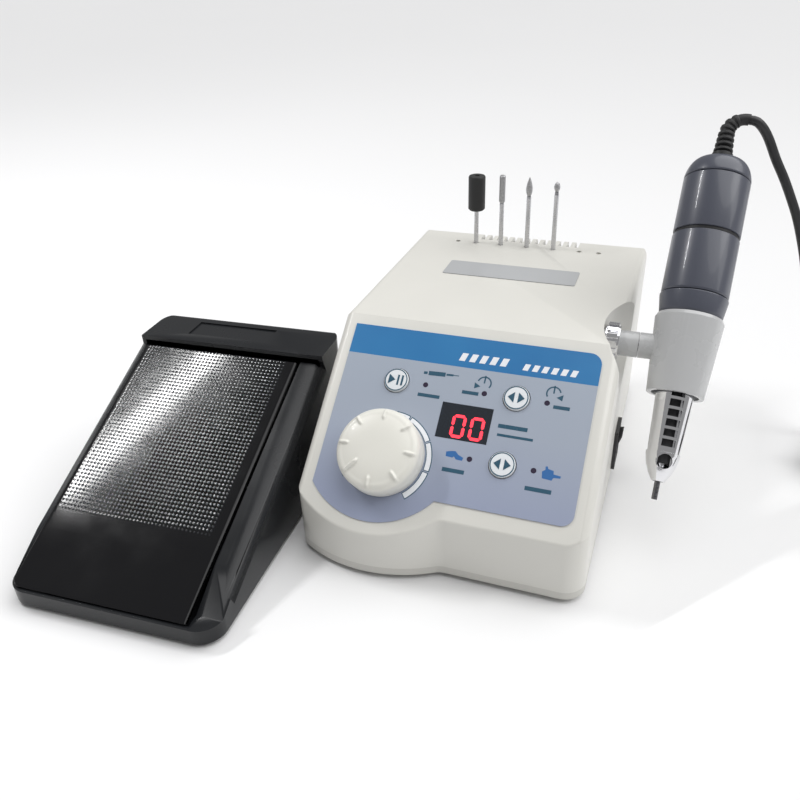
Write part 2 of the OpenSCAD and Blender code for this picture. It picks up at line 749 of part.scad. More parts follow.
// A shell of revolution: outer points from the low end up, then the bore points back down
module turned(points) on_hand() rotate_extrude(convexity = 4) polygon(points);

nose_d = 14;
nose_face = 2.7;
neck_low_d = 13;
side_hole_d = 6.2;

module nose_cone() color("silver")
  difference() {
    turned([[nose_face, nose_tip], [4.6, nose_tip + 3.2], [6.1, nose_tip + 7],
      [nose_d / 2 - 0.2, nose_tip + 10.5],
      [nose_d / 2, nose_top], [4.7, nose_top], [4.7, nose_tip + 6], [2.2, nose_tip + 2], [2.2, nose_tip]]);
    on_hand() translate([0, 0, nose_tip + 8.2]) rotate([0, 0, window_turn]) rotate([90, 0, 0])
      translate([0, 0, 4]) cylinder(d = side_hole_d, h = 6);
  }

window_pitch = 4.2;
window_h = 3;
window_n = 6;

module neck() color("silver")
  difference() {
    turned([[neck_low_d / 2, nose_top + 0.02], [neck_d / 2, cone_low + 2], [tube_id / 2 + 1, cone_low + 2],
      [tube_id / 2 + 1, cone_low + 12], [tube_id / 2, cone_low + 12], [tube_id / 2, nose_top + 0.02]]);
    for (i = [0 : window_n - 1])
      on_hand() rotate([0, 0, window_turn]) translate([-2.7, -12, nose_top + 2.3 + i * window_pitch])
        cube([5.4, 8, window_h]);
  }

module front_cone() color("darkslategray")
  turned([[cone_d(cone_low) / 2 - 0.8, cone_low + 2.02], [cone_d(cone_low + 3) / 2, cone_low + 3],
    [cone_d(seat_z) / 2, seat_z], [cone_d(seat_z) / 2 - 1.5, seat_z + 0.02],
    [cone_d(seat_z) / 2 - 1.5, lock_top + 3], [cone_d(seat_z) / 2 - 3.2, lock_top + 3],
    [cone_d(seat_z) / 2 - 3.2, seat_z - 2], [tube_id / 2 + 1.02, cone_low + 8],
    [tube_id / 2 + 1.02, cone_low + 2.02]]);

module lock_ring() color("darkslategray")
  turned([[lock_d / 2 - 1.6, seat_z + run_gap], [lock_d / 2 - 1.2, seat_z + run_gap + 0.8],
    [lock_d / 2, lock_top - 0.6], [lock_d / 2 - 0.6, lock_top], [cone_d(seat_z) / 2 - 1.4, lock_top],
    [cone_d(seat_z) / 2 - 1.4, seat_z + run_gap]]);

module grip_sleeve() color("darkslategray")
  turned([[sleeve_d / 2 - 0.2, lock_top + run_gap], [sleeve_d / 2, lock_top + 3], [sleeve_d / 2, seam_z],
    [sleeve_d / 2 - 2, seam_z], [sleeve_d / 2 - 2, lock_top + 3.02],
    [cone_d(seat_z) / 2 - 1.48, lock_top + 3.02],
    [cone_d(seat_z) / 2 - 1.48, lock_top + run_gap]]);

module seam_ring() color("black")
  turned([[sleeve_d / 2 - 2, seam_z], [sleeve_d / 2 - 0.3, seam_z], [sleeve_d / 2 - 0.3, seam_z + seam_t],
    [sleeve_d / 2 - 2, seam_z + seam_t]]);

module motor_sleeve() color("darkslategray")
  turned([[sleeve_d / 2, seam_z + seam_t], [sleeve_d / 2, sleeve_top], [sleeve_d / 2 - 2, sleeve_top],
    [sleeve_d / 2 - 2, seam_z + seam_t]]);

module rear_cap() color("darkslategray")
  turned([[sleeve_d / 2 - 0.1, sleeve_top], [sleeve_d / 2 - 0.4, sleeve_top + 3],
    [sleeve_d / 2 - 1.9, sleeve_top + 6], [sleeve_d / 2 - 4.6, sleeve_top + 8.2],
    [relief_d / 2 + 1.8, cap_top - 0.4], [relief_d / 2 + 0.6, cap_top], [relief_d / 2, cap_top],
    [relief_d / 2, cap_top - 3], [sleeve_d / 2 - 4, sleeve_top + 1], [sleeve_d / 2 - 4, sleeve_top]]);

// Centre line of the strain relief, s along it from the cap: straight, then an arc
function relief_at(s) =
  let (a = max(s - relief_straight, 0) / relief_r * 180 / PI)
  [relief_r * (1 - cos(a)), 0, cap_top + min(s, relief_straight) + relief_r * sin(a)];

relief_l = relief_straight + relief_r * relief_bend * PI / 180;
relief_ribs = 7;
rib_pitch = 2.5;
rib_l = 1.5;

// Steps along the strain relief as [s, diameter]: collar, tapering ribs, plain end
relief_steps = concat([[-3, relief_d], [2.6, relief_d], [2.9, relief_core_d]],
  [for (i = [0 : relief_ribs - 1])
    let (s = 4 + i * rib_pitch, d = relief_d - 0.6 - i * (relief_d - relief_end_d - 0.4) / (relief_ribs - 1))
    each [[s, relief_core_d], [s + 0.2, d], [s + rib_l - 0.2, d], [s + rib_l, relief_core_d]]],
  [[relief_l - 0.3, relief_core_d - 0.2], [relief_l, relief_core_d - 0.2]]);

module strain_relief() color("black") on_hand()
  swept_tube([for (p = relief_steps) relief_at(p[0])], [for (p = relief_steps) p[1]], [0, 1, 0], 16);

can_d = 22;
can_low = lock_top + 6;

module motor_can() color("silver")
  on_hand() translate([0, 0, can_low])
    difference() {
      union() {
        cylinder(d = can_d, h = sleeve_top - can_low - 2);
        translate([0, 0, sleeve_top - can_low - 2 - eps]) cylinder(d = 10, h = 3);
      }
      translate([0, 0, -over]) cylinder(d = 10, h = 2);
      translate([0, 0, 0.9]) cylinder(d = can_d - 3, h = sleeve_top - can_low - 5);
    }

spindle_d = 5;
spindle_low = nose_tip + 3;

module spindle() color("silver")
  on_hand() difference() {
    union() {
      translate([0, 0, spindle_low + 12.02]) cylinder(d = spindle_d, h = can_low + 3 - spindle_low - 12);
      translate([0, 0, cone_low + 4]) cylinder(d = 7, h = 5);
      translate([0, 0, can_low + 3]) cylinder(d = can_d - 4, h = sleeve_top - can_low - 9);
    }
    translate([0, 0, spindle_low]) cylinder(d = shank_d + 2 * bearing_gap, h = pin_l);
  }

module collet() color("silver")
  on_hand() difference() {
    union() {
      translate([0, 0, spindle_low]) cylinder(d1 = 4, d2 = 6.6, h = 6);
      translate([0, 0, spindle_low + 6 - eps]) cylinder(d = 6.6, h = 6 + eps);
    }
    translate([0, 0, spindle_low - over]) cylinder(d = shank_d + 2 * bearing_gap, h = 14);
    for (a = [0, 60, 120]) rotate([0, 0, a]) translate([-5, -0.3, spindle_low - over]) cube([10, 0.6, 9]);
  }

module chuck_pin() color("dimgray")
  on_hand() translate([0, 0, nose_tip - pin_out]) {
    cylinder(d = shank_d, h = pin_l);
  }

// ---------------------------------------------------------------- cord

function unit(v) = v / norm(v);
function tangent(p, i) = unit(p[min(i + 1, len(p) - 1)] - p[max(i - 1, 0)]);

// Ring of n points round p[i], kept upright by the side direction across the route's plane
function ring(p, i, d, n, side) =
  let (t = tangent(p, i), u = unit(cross(t, side)), v = cross(t, u))
  [for (k = [0 : n - 1]) p[i] + d / 2 * (cos(360 * k / n) * u + sin(360 * k / n) * v)];

// Closed tube along the points p; d is its diameter, or a list of one diameter for each point
module swept_tube(p, d, side, n = 8) {
  m = len(p);
  points = [for (i = [0 : m - 1]) each ring(p, i, is_list(d) ? d[i] : d, n, side)];
  sides = [for (i = [0 : m - 2], k = [0 : n - 1])
    [i * n + k, i * n + (k + 1) % n, (i + 1) * n + (k + 1) % n, (i + 1) * n + k]];
  ends = [[for (k = [n - 1 : -1 : 0]) k], [for (k = [0 : n - 1]) (m - 1) * n + k]];
  polyhedron(points, concat(sides, ends));
}

module cord_lead() color("black") on_set() swept_tube(lead_points, cord_d, [0, 1, 0]);

module cord_coil() color("black") on_set()
  translate([coil_c[0], coil_c[1], coil_z]) rotate_extrude()
    polygon([[coil_inner_r - 1, 0], [coil_turn_r + 1, 0], [coil_turn_r + 2, 1], [coil_turn_r + 2, 7],
      [coil_turn_r, 8.5], [coil_turn_r - 1, 12], [coil_inner_r + 1, 12], [coil_inner_r - 2, 8],
      [coil_inner_r - 2, 1]]);

tie_w = 9;
tie_t = 0.7;

module coil_tie() color("black") on_set()
  translate([coil_c[0] - (coil_turn_r + coil_inner_r) / 2, coil_c[1], 0])
    difference() {
      translate([-7.6, -tie_w / 2, 0]) cube([15.2, tie_w, 13.6]);
      translate([-6.9, -tie_w, tie_t]) cube([13.8, 2 * tie_w, 12.2]);
    }

module cord_tail() color("black") on_set() swept_tube(tail_points, cord_d, [1, 0, 0]);

plug_end = tail_points[len(tail_points) - 1];

module cord_plug() color("black") on_set() translate(plug_end) rotate([90, 0, 0]) {
  cylinder(d1 = cord_d + 1.5, d2 = plug_d - 2.5, h = plug_relief_l);
  translate([0, 0, plug_relief_l - eps]) cylinder(d = plug_d, h = plug_body_l);
  translate([0, 0, plug_relief_l + plug_body_l - 2 * eps]) cylinder(d = plug_tip_d, h = plug_tip_l);
}

// ---------------------------------------------------------------- foot pedal
// In its own frame: x from the left side, y from the front lip, z up

module pedal_plan(g) translate([pedal_w / 2, pedal_l / 2])
  rounded_square([pedal_w - 2 * g, pedal_l - 2 * g], base_r - g);

// Side view under the lip, the sloping walls and the bridge, lowered by g
module pedal_side(g)
  translate([-5, 0, 0]) rotate([90, 0, 90]) linear_extrude(pedal_w + 10)
    polygon([[-5, -5], [-5, lip_z - g], [lip_y, lip_z - g], [heel_y, heel_z - wall_drop - g],
      [bridge_y, treadle_end_z - wall_drop - g], [bridge_y, pedal_h - g], [pedal_l + 5, pedal_h - g],
      [pedal_l + 5, -5]]);

// Hollow inside: the closed right side and bridge, and the well of the treadle, less the
// lugs of its pin, the posts of its springs and its two stops
module pedal_room()
  difference() {
    union() {
      intersection() {
        translate([0, 0, ped_floor]) linear_extrude(pedal_h) pedal_plan(ped_wall);
        pedal_side(ped_wall);
      }
      intersection() {
        translate([0, 0, ped_floor]) linear_extrude(pedal_h) pedal_plan(ped_wall);
        cube([well_end, bridge_y + eps, pedal_h + over]);
      }
    }
    translate([well_end, 0, 0]) cube([ped_wall, bridge_y, pedal_h]);
    for (x = lugs_x) translate([x - lug_w / 2, treadle_pivot[0] - 5, 0])
      cube([lug_w, 10, treadle_pivot[1] + 3.2]);
    for (p = springs_at) translate([p[0], p[1], 0]) cylinder(d = spring_d - 4, h = ped_floor + 5);
    for (p = stops_at) translate([p[0], p[1], 0])
      cylinder(d = stop_d, h = under_treadle(p[1] - stop_d / 2, treadle_travel) - 0.4);
  }

module pedal_base() color("black") on_pedal()
  difference() {
    intersection() {
      translate([0, 0, ped_foot]) linear_extrude(pedal_h) pedal_plan(0);
      pedal_side(0);
    }
    pedal_room();
    translate([pedal_w, heel_y, heel_z - wall_drop]) rotate([treadle_slope, 0, 0]) translate([0, 46, 0])
      edge_cutter(7, 116);
    translate([pedal_w / 2, pedal_l, pedal_h]) rotate([0, 0, 90]) edge_cutter(4, pedal_w + 10);
    for (x = lugs_x)
      translate([x - lug_w / 2 - over, treadle_pivot[0], treadle_pivot[1]]) rotate([0, 90, 0])
        cylinder(d = pin_d, h = lug_w + 2 * over);
    // Recess for the label
    translate([22, bridge_y + 7, pedal_h - 0.6]) cube([42, 13, 2]);
    translate([gland_at[0], pedal_l - ped_wall - over, gland_at[1]]) rotate([-90, 0, 0])
      cylinder(d = gland_d, h = ped_wall + 2 * over);
  }

module pedal_feet() color("dimgray") on_pedal()
  for (x = [16, pedal_w - 16], y = [18, pedal_l - 16]) translate([x, y, 0]) cylinder(d = 12, h = ped_foot);

// Treadle: sloping plate with a heel apron in front, and two ears on the pin
module pedal_treadle() color("black") on_pedal()
  difference() {
    union() {
      intersection() {
        translate([ped_wall + treadle_gap, 0, 0]) rotate([90, 0, 90])
          linear_extrude(treadle_w - ped_wall - treadle_gap)
            polygon([[0.8, lip_z + 0.6], [4, lip_z + 0.6], [heel_y + 1.2, heel_z - treadle_t],
              [treadle_end, treadle_end_z - treadle_t], [treadle_end, treadle_end_z], [heel_y, heel_z]]);
        linear_extrude(pedal_h) pedal_plan(0.8);
      }
      for (x = lugs_x) translate([x + lug_w / 2 + run_gap, treadle_pivot[0], treadle_pivot[1]]) {
        rotate([0, 90, 0]) cylinder(d = ear_d, h = lug_w);
        rotate([90, 0, 90]) linear_extrude(lug_w)
          polygon([[-ear_d / 2, 0], [ear_d / 2, 0], [ear_d / 2, 7.6], [-ear_d / 2, 4.7]]);
      }
    }
    translate([0, treadle_pivot[0], treadle_pivot[1]]) rotate([0, 90, 0])
      cylinder(d = pin_d + 2 * bearing_gap, h = treadle_w);
  }

module treadle_pin() color("silver") on_pedal()
  translate([lugs_x[0] - lug_w / 2, treadle_pivot[0], treadle_pivot[1]]) rotate([0, 90, 0])
    cylinder(d = pin_d, h = lugs_x[1] - lugs_x[0] + 2 * lug_w + run_gap);

module treadle_springs() color("silver") on_pedal()
  for (p = springs_at) translate([p[0], p[1], ped_floor])
    tube(spring_d, spring_d - 3, under_treadle(p[1] - spring_d / 2) - ped_floor);

module pedal_board() color("seagreen") on_pedal()
  translate([30, 56, ped_floor]) {
    cube([24, 18, board_t]);
    translate([10, 7, board_t - eps]) cube([4, 4, 4]);
  }

module pedal_gland() color("black") on_pedal()
  translate([gland_at[0], pedal_l - ped_wall - 3, gland_at[1]]) rotate([-90, 0, 0])
    tube(gland_d, 4.2, ped_wall + 9);

// ---------------------------------------------------------------- nodes

upper_case();
lower_case();
rubber_feet();
case_screws();
panel_film();
nameplate();
display_window();
display_module();
display_digits();
indicator_lamps();
panel_board();
speed_pot();
speed_knob();
knob_shaft();
button_play();
button_turn();
button_source();
switch_frame();
switch_rocker();
mains_inlet();
transformer();
main_board();
heat_sink();
hand_socket();
foot_socket();
bit_mandrel();
bit_barrel();
bit_flame();
bit_oval();
cradle_hub();
cradle_boss();
cradle_screw();
cradle();
nose_cone();
neck();
front_cone();
lock_ring();
grip_sleeve();
seam_ring();
motor_sleeve();
rear_cap();
strain_relief();
motor_can();
spindle();
collet();
chuck_pin();
cord_lead();
cord_coil();
coil_tie();
cord_tail();
cord_plug();
pedal_base();
pedal_feet();
pedal_treadle();
treadle_pin();
treadle_springs();
pedal_board();
pedal_gland();
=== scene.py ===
"""Looks of the electric nail drill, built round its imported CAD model.

Metres, in the model's own frame: +X to the right of the control unit, +Y to its back, +Z up.
"""

import json
import math

import bmesh
import bpy
import numpy as np
from mathutils import Matrix, Vector


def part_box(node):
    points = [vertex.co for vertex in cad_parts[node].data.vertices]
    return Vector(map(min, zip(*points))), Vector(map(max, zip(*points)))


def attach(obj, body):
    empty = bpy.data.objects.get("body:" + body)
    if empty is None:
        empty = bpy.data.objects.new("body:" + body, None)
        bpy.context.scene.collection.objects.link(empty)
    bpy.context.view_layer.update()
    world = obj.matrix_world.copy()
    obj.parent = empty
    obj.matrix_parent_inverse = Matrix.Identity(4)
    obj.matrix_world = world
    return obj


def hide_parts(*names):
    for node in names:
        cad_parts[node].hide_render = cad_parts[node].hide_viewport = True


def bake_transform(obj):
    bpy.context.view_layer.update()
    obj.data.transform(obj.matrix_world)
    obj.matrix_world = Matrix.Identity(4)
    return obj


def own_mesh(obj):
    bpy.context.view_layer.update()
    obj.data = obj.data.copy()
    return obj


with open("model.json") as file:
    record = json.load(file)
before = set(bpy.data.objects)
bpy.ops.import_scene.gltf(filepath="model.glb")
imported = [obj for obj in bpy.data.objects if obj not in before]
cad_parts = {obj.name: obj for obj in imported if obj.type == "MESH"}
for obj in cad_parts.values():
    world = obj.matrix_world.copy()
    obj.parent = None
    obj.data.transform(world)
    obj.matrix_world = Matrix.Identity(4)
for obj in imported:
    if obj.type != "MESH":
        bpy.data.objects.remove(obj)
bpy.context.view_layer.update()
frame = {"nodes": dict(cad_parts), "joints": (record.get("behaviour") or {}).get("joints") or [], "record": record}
MM = 0.001

# ------------------------------------------------------------------ places

joints = {joint["name"]: joint for joint in frame["joints"]}
case_low, case_high = (np.array(corner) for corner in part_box("upper_case"))
middle_x = (case_low[0] + case_high[0]) / 2
deck_z = case_high[2]
back_y = case_high[1]
deck_depth = 116 * MM
crease_y = back_y - deck_depth
unit_middle = np.array([middle_x, crease_y + 25.5 * MM, 0])

slope = math.radians(39.4)
PANEL_RIGHT = np.array([1.0, 0, 0])
PANEL_UP = np.array([0, math.cos(slope), math.sin(slope)])
PANEL_OUT = np.array([0, -math.sin(slope), math.cos(slope)])

pivot = np.array(joints["cradle_tilt"]["pos_m"])
HAND_AXIS = np.array(joints["hand_lift"]["axis"])
HAND_SIDE = np.array([1.0, 0, 0]) - HAND_AXIS[0] * HAND_AXIS
HAND_SIDE /= np.linalg.norm(HAND_SIDE)

pedal_heel = np.array(joints["treadle_press"]["pos_m"])
PEDAL_RIGHT = -np.array(joints["treadle_press"]["axis"])
PEDAL_BACK = np.cross([0, 0, 1.0], PEDAL_RIGHT)
pedal_corner = pedal_heel - 42 * MM * PEDAL_RIGHT - 16 * MM * PEDAL_BACK - 8.9 * MM * np.array([0, 0, 1])


def on_panel(x, down, out=0.0):
    """Points on the panel: x to the right of its middle, down its slope from the crease, out from it."""
    x, down, out = np.broadcast_arrays(x, down, out)
    start = np.array([middle_x, crease_y, deck_z])
    return start + x[..., None] * PANEL_RIGHT - down[..., None] * PANEL_UP + out[..., None] * PANEL_OUT


def on_pedal(x, y, z):
    """Points in the pedal's own frame: x from its left side, y from its front lip, z up."""
    x, y, z = np.broadcast_arrays(x, y, z)
    return (pedal_corner + x[..., None] * PEDAL_RIGHT + y[..., None] * PEDAL_BACK
            + z[..., None] * np.array([0, 0, 1.0]))


# ------------------------------------------------------------------ camera

def make_camera():
    """A 35 mm lens in front of the set, a little to its right, looking down at it."""
    turn, down, roll = math.radians(21.166), math.radians(31.527), math.radians(-2.427)
    back = np.array([math.sin(turn) * math.cos(down), -math.cos(turn) * math.cos(down), math.sin(down)])
    right = np.cross([0, 0, 1], back)
    right /= np.linalg.norm(right)
    up = np.cross(back, right)
    rolled_right = right * math.cos(roll) + up * math.sin(roll)
    rolled_up = up * math.cos(roll) - right * math.sin(roll)
    place = np.array([middle_x, crease_y, 0]) + np.array([76.62, -292.64, 233.41]) * MM
    lens = bpy.data.cameras.new("camera")
    lens.lens = 35.21
    lens.sensor_width = 36
    lens.clip_start = 0.01
    camera = bpy.data.objects.new("camera", lens)
    turned = Matrix.Identity(4)
    for column, direction in enumerate((rolled_right, rolled_up, back, place)):
        for row in range(3):
            turned[row][column] = direction[row]
    camera.matrix_world = turned
    bpy.context.scene.collection.objects.link(camera)
    bpy.context.scene.camera = camera


make_camera()

# ------------------------------------------------------------------ finishes


class Finish:
    """A material with a Principled shader and short ways to add nodes to it."""

    def __init__(self, name, colour, roughness, metallic=0.0, coat=0.0, coat_roughness=0.05):
        self.material = bpy.data.materials.new(name)
        self.material.use_nodes = True
        self.tree = self.material.node_tree
        self.shader = self.tree.nodes["Principled BSDF"]
        self.set("Base Color", (*colour, 1))
        self.set("Roughness", roughness)
        self.set("Metallic", metallic)
        self.set("Coat Weight", coat)
        self.set("Coat Roughness", coat_roughness)
        self.set("IOR", 1.5)
        self.colour = colour
        self.place = self.node("ShaderNodeTexCoord").outputs["Object"]

    def set(self, socket, value):
        """Sets a value that is the same all over the piece."""
        self.shader.inputs[socket].default_value = value

    def node(self, kind, **values):
        """A node with its properties set, and its input sockets where the name is a socket's."""
        made = self.tree.nodes.new(kind)
        for name, value in values.items():
            if hasattr(made, name):
                setattr(made, name, value)
            else:
                made.inputs[name.replace("_", " ")].default_value = value
        return made

    def link(self, source, target):
        self.tree.links.new(source, target)

    def noise(self, scale, detail=3.0, place=None):
        """Soft random changes; scale is how many there are to a metre."""
        made = self.node("ShaderNodeTexNoise", Scale=scale, Detail=detail)
        self.link(place or self.place, made.inputs["Vector"])
        return made.outputs["Fac"]

    def stretched(self, scale):
        """Object coordinates scaled by three factors."""
        made = self.node("ShaderNodeMapping")
        made.inputs["Scale"].default_value = scale
        self.link(self.place, made.inputs["Vector"])
        return made.outputs["Vector"]

    def math(self, operation, first, second=None):
        """A sum of one or two values, each a number or another node's output."""
        made = self.node("ShaderNodeMath", operation=operation)
        for socket, value in enumerate((first, second)):
            if value is None:
                continue
            if isinstance(value, (int, float)):
                made.inputs[socket].default_value = value
            else:
                self.link(value, made.inputs[socket])
        return made.outputs[0]

    def ramp(self, factor, stops):
        """A colour ramp through (position, colour) stops."""
        made = self.node("ShaderNodeValToRGB")
        band = made.color_ramp
        while len(band.elements) < len(stops):
            band.elements.new(0.5)
        for element, (position, colour) in zip(band.elements, stops):
            element.position = position
            element.color = (*colour, 1) if len(colour) == 3 else colour
        self.link(factor, made.inputs["Fac"])
        return made.outputs["Color"]

    def shade(self, factor, amount):
        """Lets the base colour vary by the share amount with factor."""
        low = tuple(max(c * (1 - amount), 0) for c in self.colour)
        high = tuple(min(c * (1 + amount), 1) for c in self.colour)
        self.link(self.ramp(factor, [(0.3, low), (0.7, high)]), self.shader.inputs["Base Color"])
        return self

    def roughen(self, factor, low, high):
        """Lets the roughness vary between low and high with factor."""
        made = self.node("ShaderNodeMapRange")
        self.link(factor, made.inputs["Value"])
        made.inputs["From Min"].default_value = 0.3
        made.inputs["From Max"].default_value = 0.7
        made.inputs["To Min"].default_value = low
        made.inputs["To Max"].default_value = high
        self.link(made.outputs[0], self.shader.inputs["Roughness"])
        return self

    def bump(self, height, distance, strength):
        """Raises the surface by up to distance where height is 1."""
        made = self.node("ShaderNodeBump", Strength=strength, Distance=distance)
        self.link(height, made.inputs["Height"])
        self.link(made.outputs["Normal"], self.shader.inputs["Normal"])
        return self


def moulded(name, colour, roughness, coat=0.0, grain=1200, depth=0.02 * MM, vary=0.02):
    """Moulded plastic: fine grain, slow changes of gloss and a hardly visible change of colour."""
    made = Finish(name, colour, roughness, coat=coat)
    made.shade(made.noise(18, 4), vary)
    made.roughen(made.noise(40, 4), roughness * 0.85, min(roughness * 1.2, 1))
    return made.bump(made.noise(grain, 2), depth, 0.5)


def bright_metal(name, colour, roughness, streak=(60, 60, 1500), depth=0.004 * MM):
    """Machined metal: fine streaks that run round a turned piece or along a drawn one."""
    made = Finish(name, colour, roughness, metallic=1)
    lines = made.noise(1, 4, made.stretched(streak))
    made.roughen(lines, roughness * 0.7, roughness * 1.4)
    return made.bump(lines, depth, 0.6)


def panel_print():
    """Printed film under a clear gloss coat: a blue band, and lilac-blue that deepens down from it."""
    made = Finish("panel_film", (0.42, 0.47, 0.72), 0.32, coat=0.9, coat_roughness=0.04)
    split = made.node("ShaderNodeSeparateXYZ")
    made.link(made.place, split.inputs[0])
    height = made.math("SUBTRACT", deck_z, split.outputs["Z"])
    film_length = 80
    band_end = 18.2
    down = made.math("DIVIDE", height, math.sin(slope) * film_length * MM)
    wave = made.math("MULTIPLY", made.noise(16, 3), 0.10)
    mixed = made.math("ADD", down, made.math("SUBTRACT", wave, 0.05))
    lilac = made.ramp(mixed, [(0.2, (0.37, 0.42, 0.50)), (0.55, (0.36, 0.405, 0.49)),
                              (1.0, (0.31, 0.35, 0.48))])
    band = made.math("LESS_THAN", down, band_end / film_length)
    shades = made.ramp(made.noise(25, 2), [(0.3, (0.010, 0.155, 0.40)), (0.7, (0.020, 0.20, 0.46))])
    both = made.node("ShaderNodeMix", data_type="RGBA")
    below, above = (socket for socket in both.inputs if socket.type == "RGBA")
    mixed_colour = next(socket for socket in both.outputs if socket.type == "RGBA")
    made.link(band, both.inputs["Factor"])
    made.link(lilac, below)
    made.link(shades, above)
    made.link(mixed_colour, made.shader.inputs["Base Color"])
    made.bump(made.noise(48, 2), 0.3 * MM, 0.6)
    return made


def lit_red():
    """The display's lit bars."""
    made = Finish("lit_red", (0.9, 0.03, 0.04), 0.3)
    made.set("Emission Color", (1, 0.04, 0.07, 1))
    made.set("Emission Strength", 1.6)
    made.shade(made.noise(900, 2), 0.1)
    return made


def smoked_window():
    """Dark clear plastic in front of the display."""
    made = Finish("smoked_window", (0.028, 0.045, 0.075), 0.06, coat=1.0, coat_roughness=0.02)
    made.set("Transmission Weight", 0.75)
    made.roughen(made.noise(300, 2), 0.04, 0.10)
    return made


def tread_black():
    """Gloss black with a fine diamond tread over the middle of the plate, in the pedal's own turn; the studs' tops
    carry a painted highlight of lighter grey.
    """
    made = Finish("tread_black", (0.006, 0.006, 0.007), 0.2)
    made.set("Specular IOR Level", 0.3)
    turn = made.node("ShaderNodeMapping")
    turn.vector_type = "POINT"
    pedal_turn = math.atan2(PEDAL_RIGHT[1], PEDAL_RIGHT[0])
    turn.inputs["Rotation"].default_value = (0, 0, -pedal_turn + math.radians(45))
    made.link(made.place, turn.inputs["Vector"])
    split = made.node("ShaderNodeSeparateXYZ")
    made.link(turn.outputs["Vector"], split.inputs[0])
    stud_pitch = 2.5 * MM
    pitch = 2 * math.pi / stud_pitch
    across = made.math("SINE", made.math("MULTIPLY", split.outputs["X"], pitch))
    along = made.math("SINE", made.math("MULTIPLY", split.outputs["Y"], pitch))
    studs = made.math("MAXIMUM", made.math("MULTIPLY", across, along), 0.0)
    zone = made.node("ShaderNodeAttribute")
    zone.attribute_name = "tread"
    height = made.math("MULTIPLY", studs, zone.outputs["Fac"])
    # The stud tops are coloured a lighter grey than the black between them: a painted highlight on the tread.
    made.link(made.ramp(height, [(0.1, (0.006, 0.006, 0.007)), (0.6, (0.03, 0.032, 0.036))]),
              made.shader.inputs["Base Color"])
    made.roughen(made.noise(60, 3), 0.07, 0.13)
    return made.bump(height, 0.09 * MM, 0.6)


def grit():
    """Diamond grit on a bit's head: close bright and dark grains."""
    made = Finish("grit", (0.45, 0.45, 0.46), 0.45, metallic=1)
    grains = made.node("ShaderNodeTexVoronoi", Scale=3800.0)
    made.link(made.place, grains.inputs["Vector"])
    made.shade(made.noise(2600, 2), 0.35)
    return made.bump(grains.outputs["Distance"], 0.12 * MM, 0.8)


def sheath_rubber():
    """Matt black rubber sheath with a soft sheen."""
    made = Finish("cord_rubber", (0.016, 0.016, 0.018), 0.42)
    made.shade(made.noise(150, 3), 0.25)
    made.roughen(made.noise(90, 3), 0.36, 0.52)
    return made.bump(made.noise(1500, 2), 0.02 * MM, 0.5)


ivory = moulded("ivory_plastic", (0.70, 0.69, 0.645), 0.34, coat=0.15)
knob_ivory = moulded("knob_plastic", (0.76, 0.75, 0.69), 0.38, coat=0.1, grain=900)
base_grey = moulded("base_plastic", (0.60, 0.59, 0.55), 0.42)
film = panel_print()
white_print = moulded("white_print", (0.86, 0.88, 0.92), 0.3, coat=0.7)
teal_print = moulded("teal_print", (0.02, 0.085, 0.14), 0.3, coat=0.7)
blue_print = moulded("blue_print", (0.03, 0.14, 0.38), 0.3, coat=0.7)
plate_grey = moulded("plate_grey", (0.44, 0.45, 0.46), 0.36, coat=0.4, vary=0.05)
button_white = moulded("button_white", (0.80, 0.83, 0.86), 0.28, coat=0.5)
lamp_dark = moulded("lamp_dark", (0.03, 0.02, 0.045), 0.18, coat=0.6)
window = smoked_window()
red_light = lit_red()
slate = moulded("slate_lacquer", (0.074, 0.080, 0.105), 0.33, coat=0.25, grain=1500)
slate_dark = moulded("slate_seam", (0.012, 0.012, 0.014), 0.5)
cradle_grey = moulded("cradle_plastic", (0.50, 0.505, 0.51), 0.26, coat=0.45)
black_rubber = moulded("black_rubber", (0.018, 0.018, 0.019), 0.5, grain=1800, vary=0.2)
foot_rubber = moulded("foot_rubber", (0.05, 0.05, 0.05), 0.75, grain=1800, vary=0.15)
black_plastic = moulded("black_plastic", (0.022, 0.022, 0.024), 0.4, vary=0.15)
pedal_black = moulded("pedal_plastic", (0.012, 0.013, 0.015), 0.24, grain=1300, vary=0.12)
pedal_black.set("Specular IOR Level", 0.35)
tread = tread_black()
chrome = bright_metal("chrome", (0.80, 0.80, 0.82), 0.09, depth=0.001 * MM)
steel = bright_metal("turned_steel", (0.56, 0.56, 0.58), 0.24)
dark_steel = bright_metal("dark_steel", (0.18, 0.18, 0.19), 0.30)
aluminium = bright_metal("aluminium", (0.66, 0.67, 0.68), 0.34)
copper = moulded("varnished_copper", (0.42, 0.20, 0.07), 0.35, coat=0.5, vary=0.25)
board_green = moulded("solder_mask", (0.02, 0.17, 0.07), 0.35, coat=0.3, vary=0.15)
bit_grit = grit()
cord_rubber = sheath_rubber()

# ------------------------------------------------------------------ shapes


def add_piece(name, points, faces, body, finish, stands_for=(), smooth_angle=40.0, outward=True):
    """A mesh piece that rides on a body. Doubled points are merged, and a closed one's faces point out."""
    mesh = bpy.data.meshes.new(name)
    mesh.from_pydata(np.asarray(points, float).reshape(-1, 3).tolist(), [], faces)
    shape = bmesh.new()
    shape.from_mesh(mesh)
    bmesh.ops.remove_doubles(shape, verts=shape.verts, dist=1e-7)
    if outward:
        bmesh.ops.recalc_face_normals(shape, faces=shape.faces)
    shape.to_mesh(mesh)
    shape.free()
    piece = bpy.data.objects.new(name, mesh)
    bpy.context.scene.collection.objects.link(piece)
    mesh.materials.append(finish.material)
    mesh.shade_smooth()
    mesh.set_sharp_from_angle(angle=math.radians(smooth_angle))
    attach(piece, body)
    if stands_for:
        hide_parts(*stands_for)
    return piece


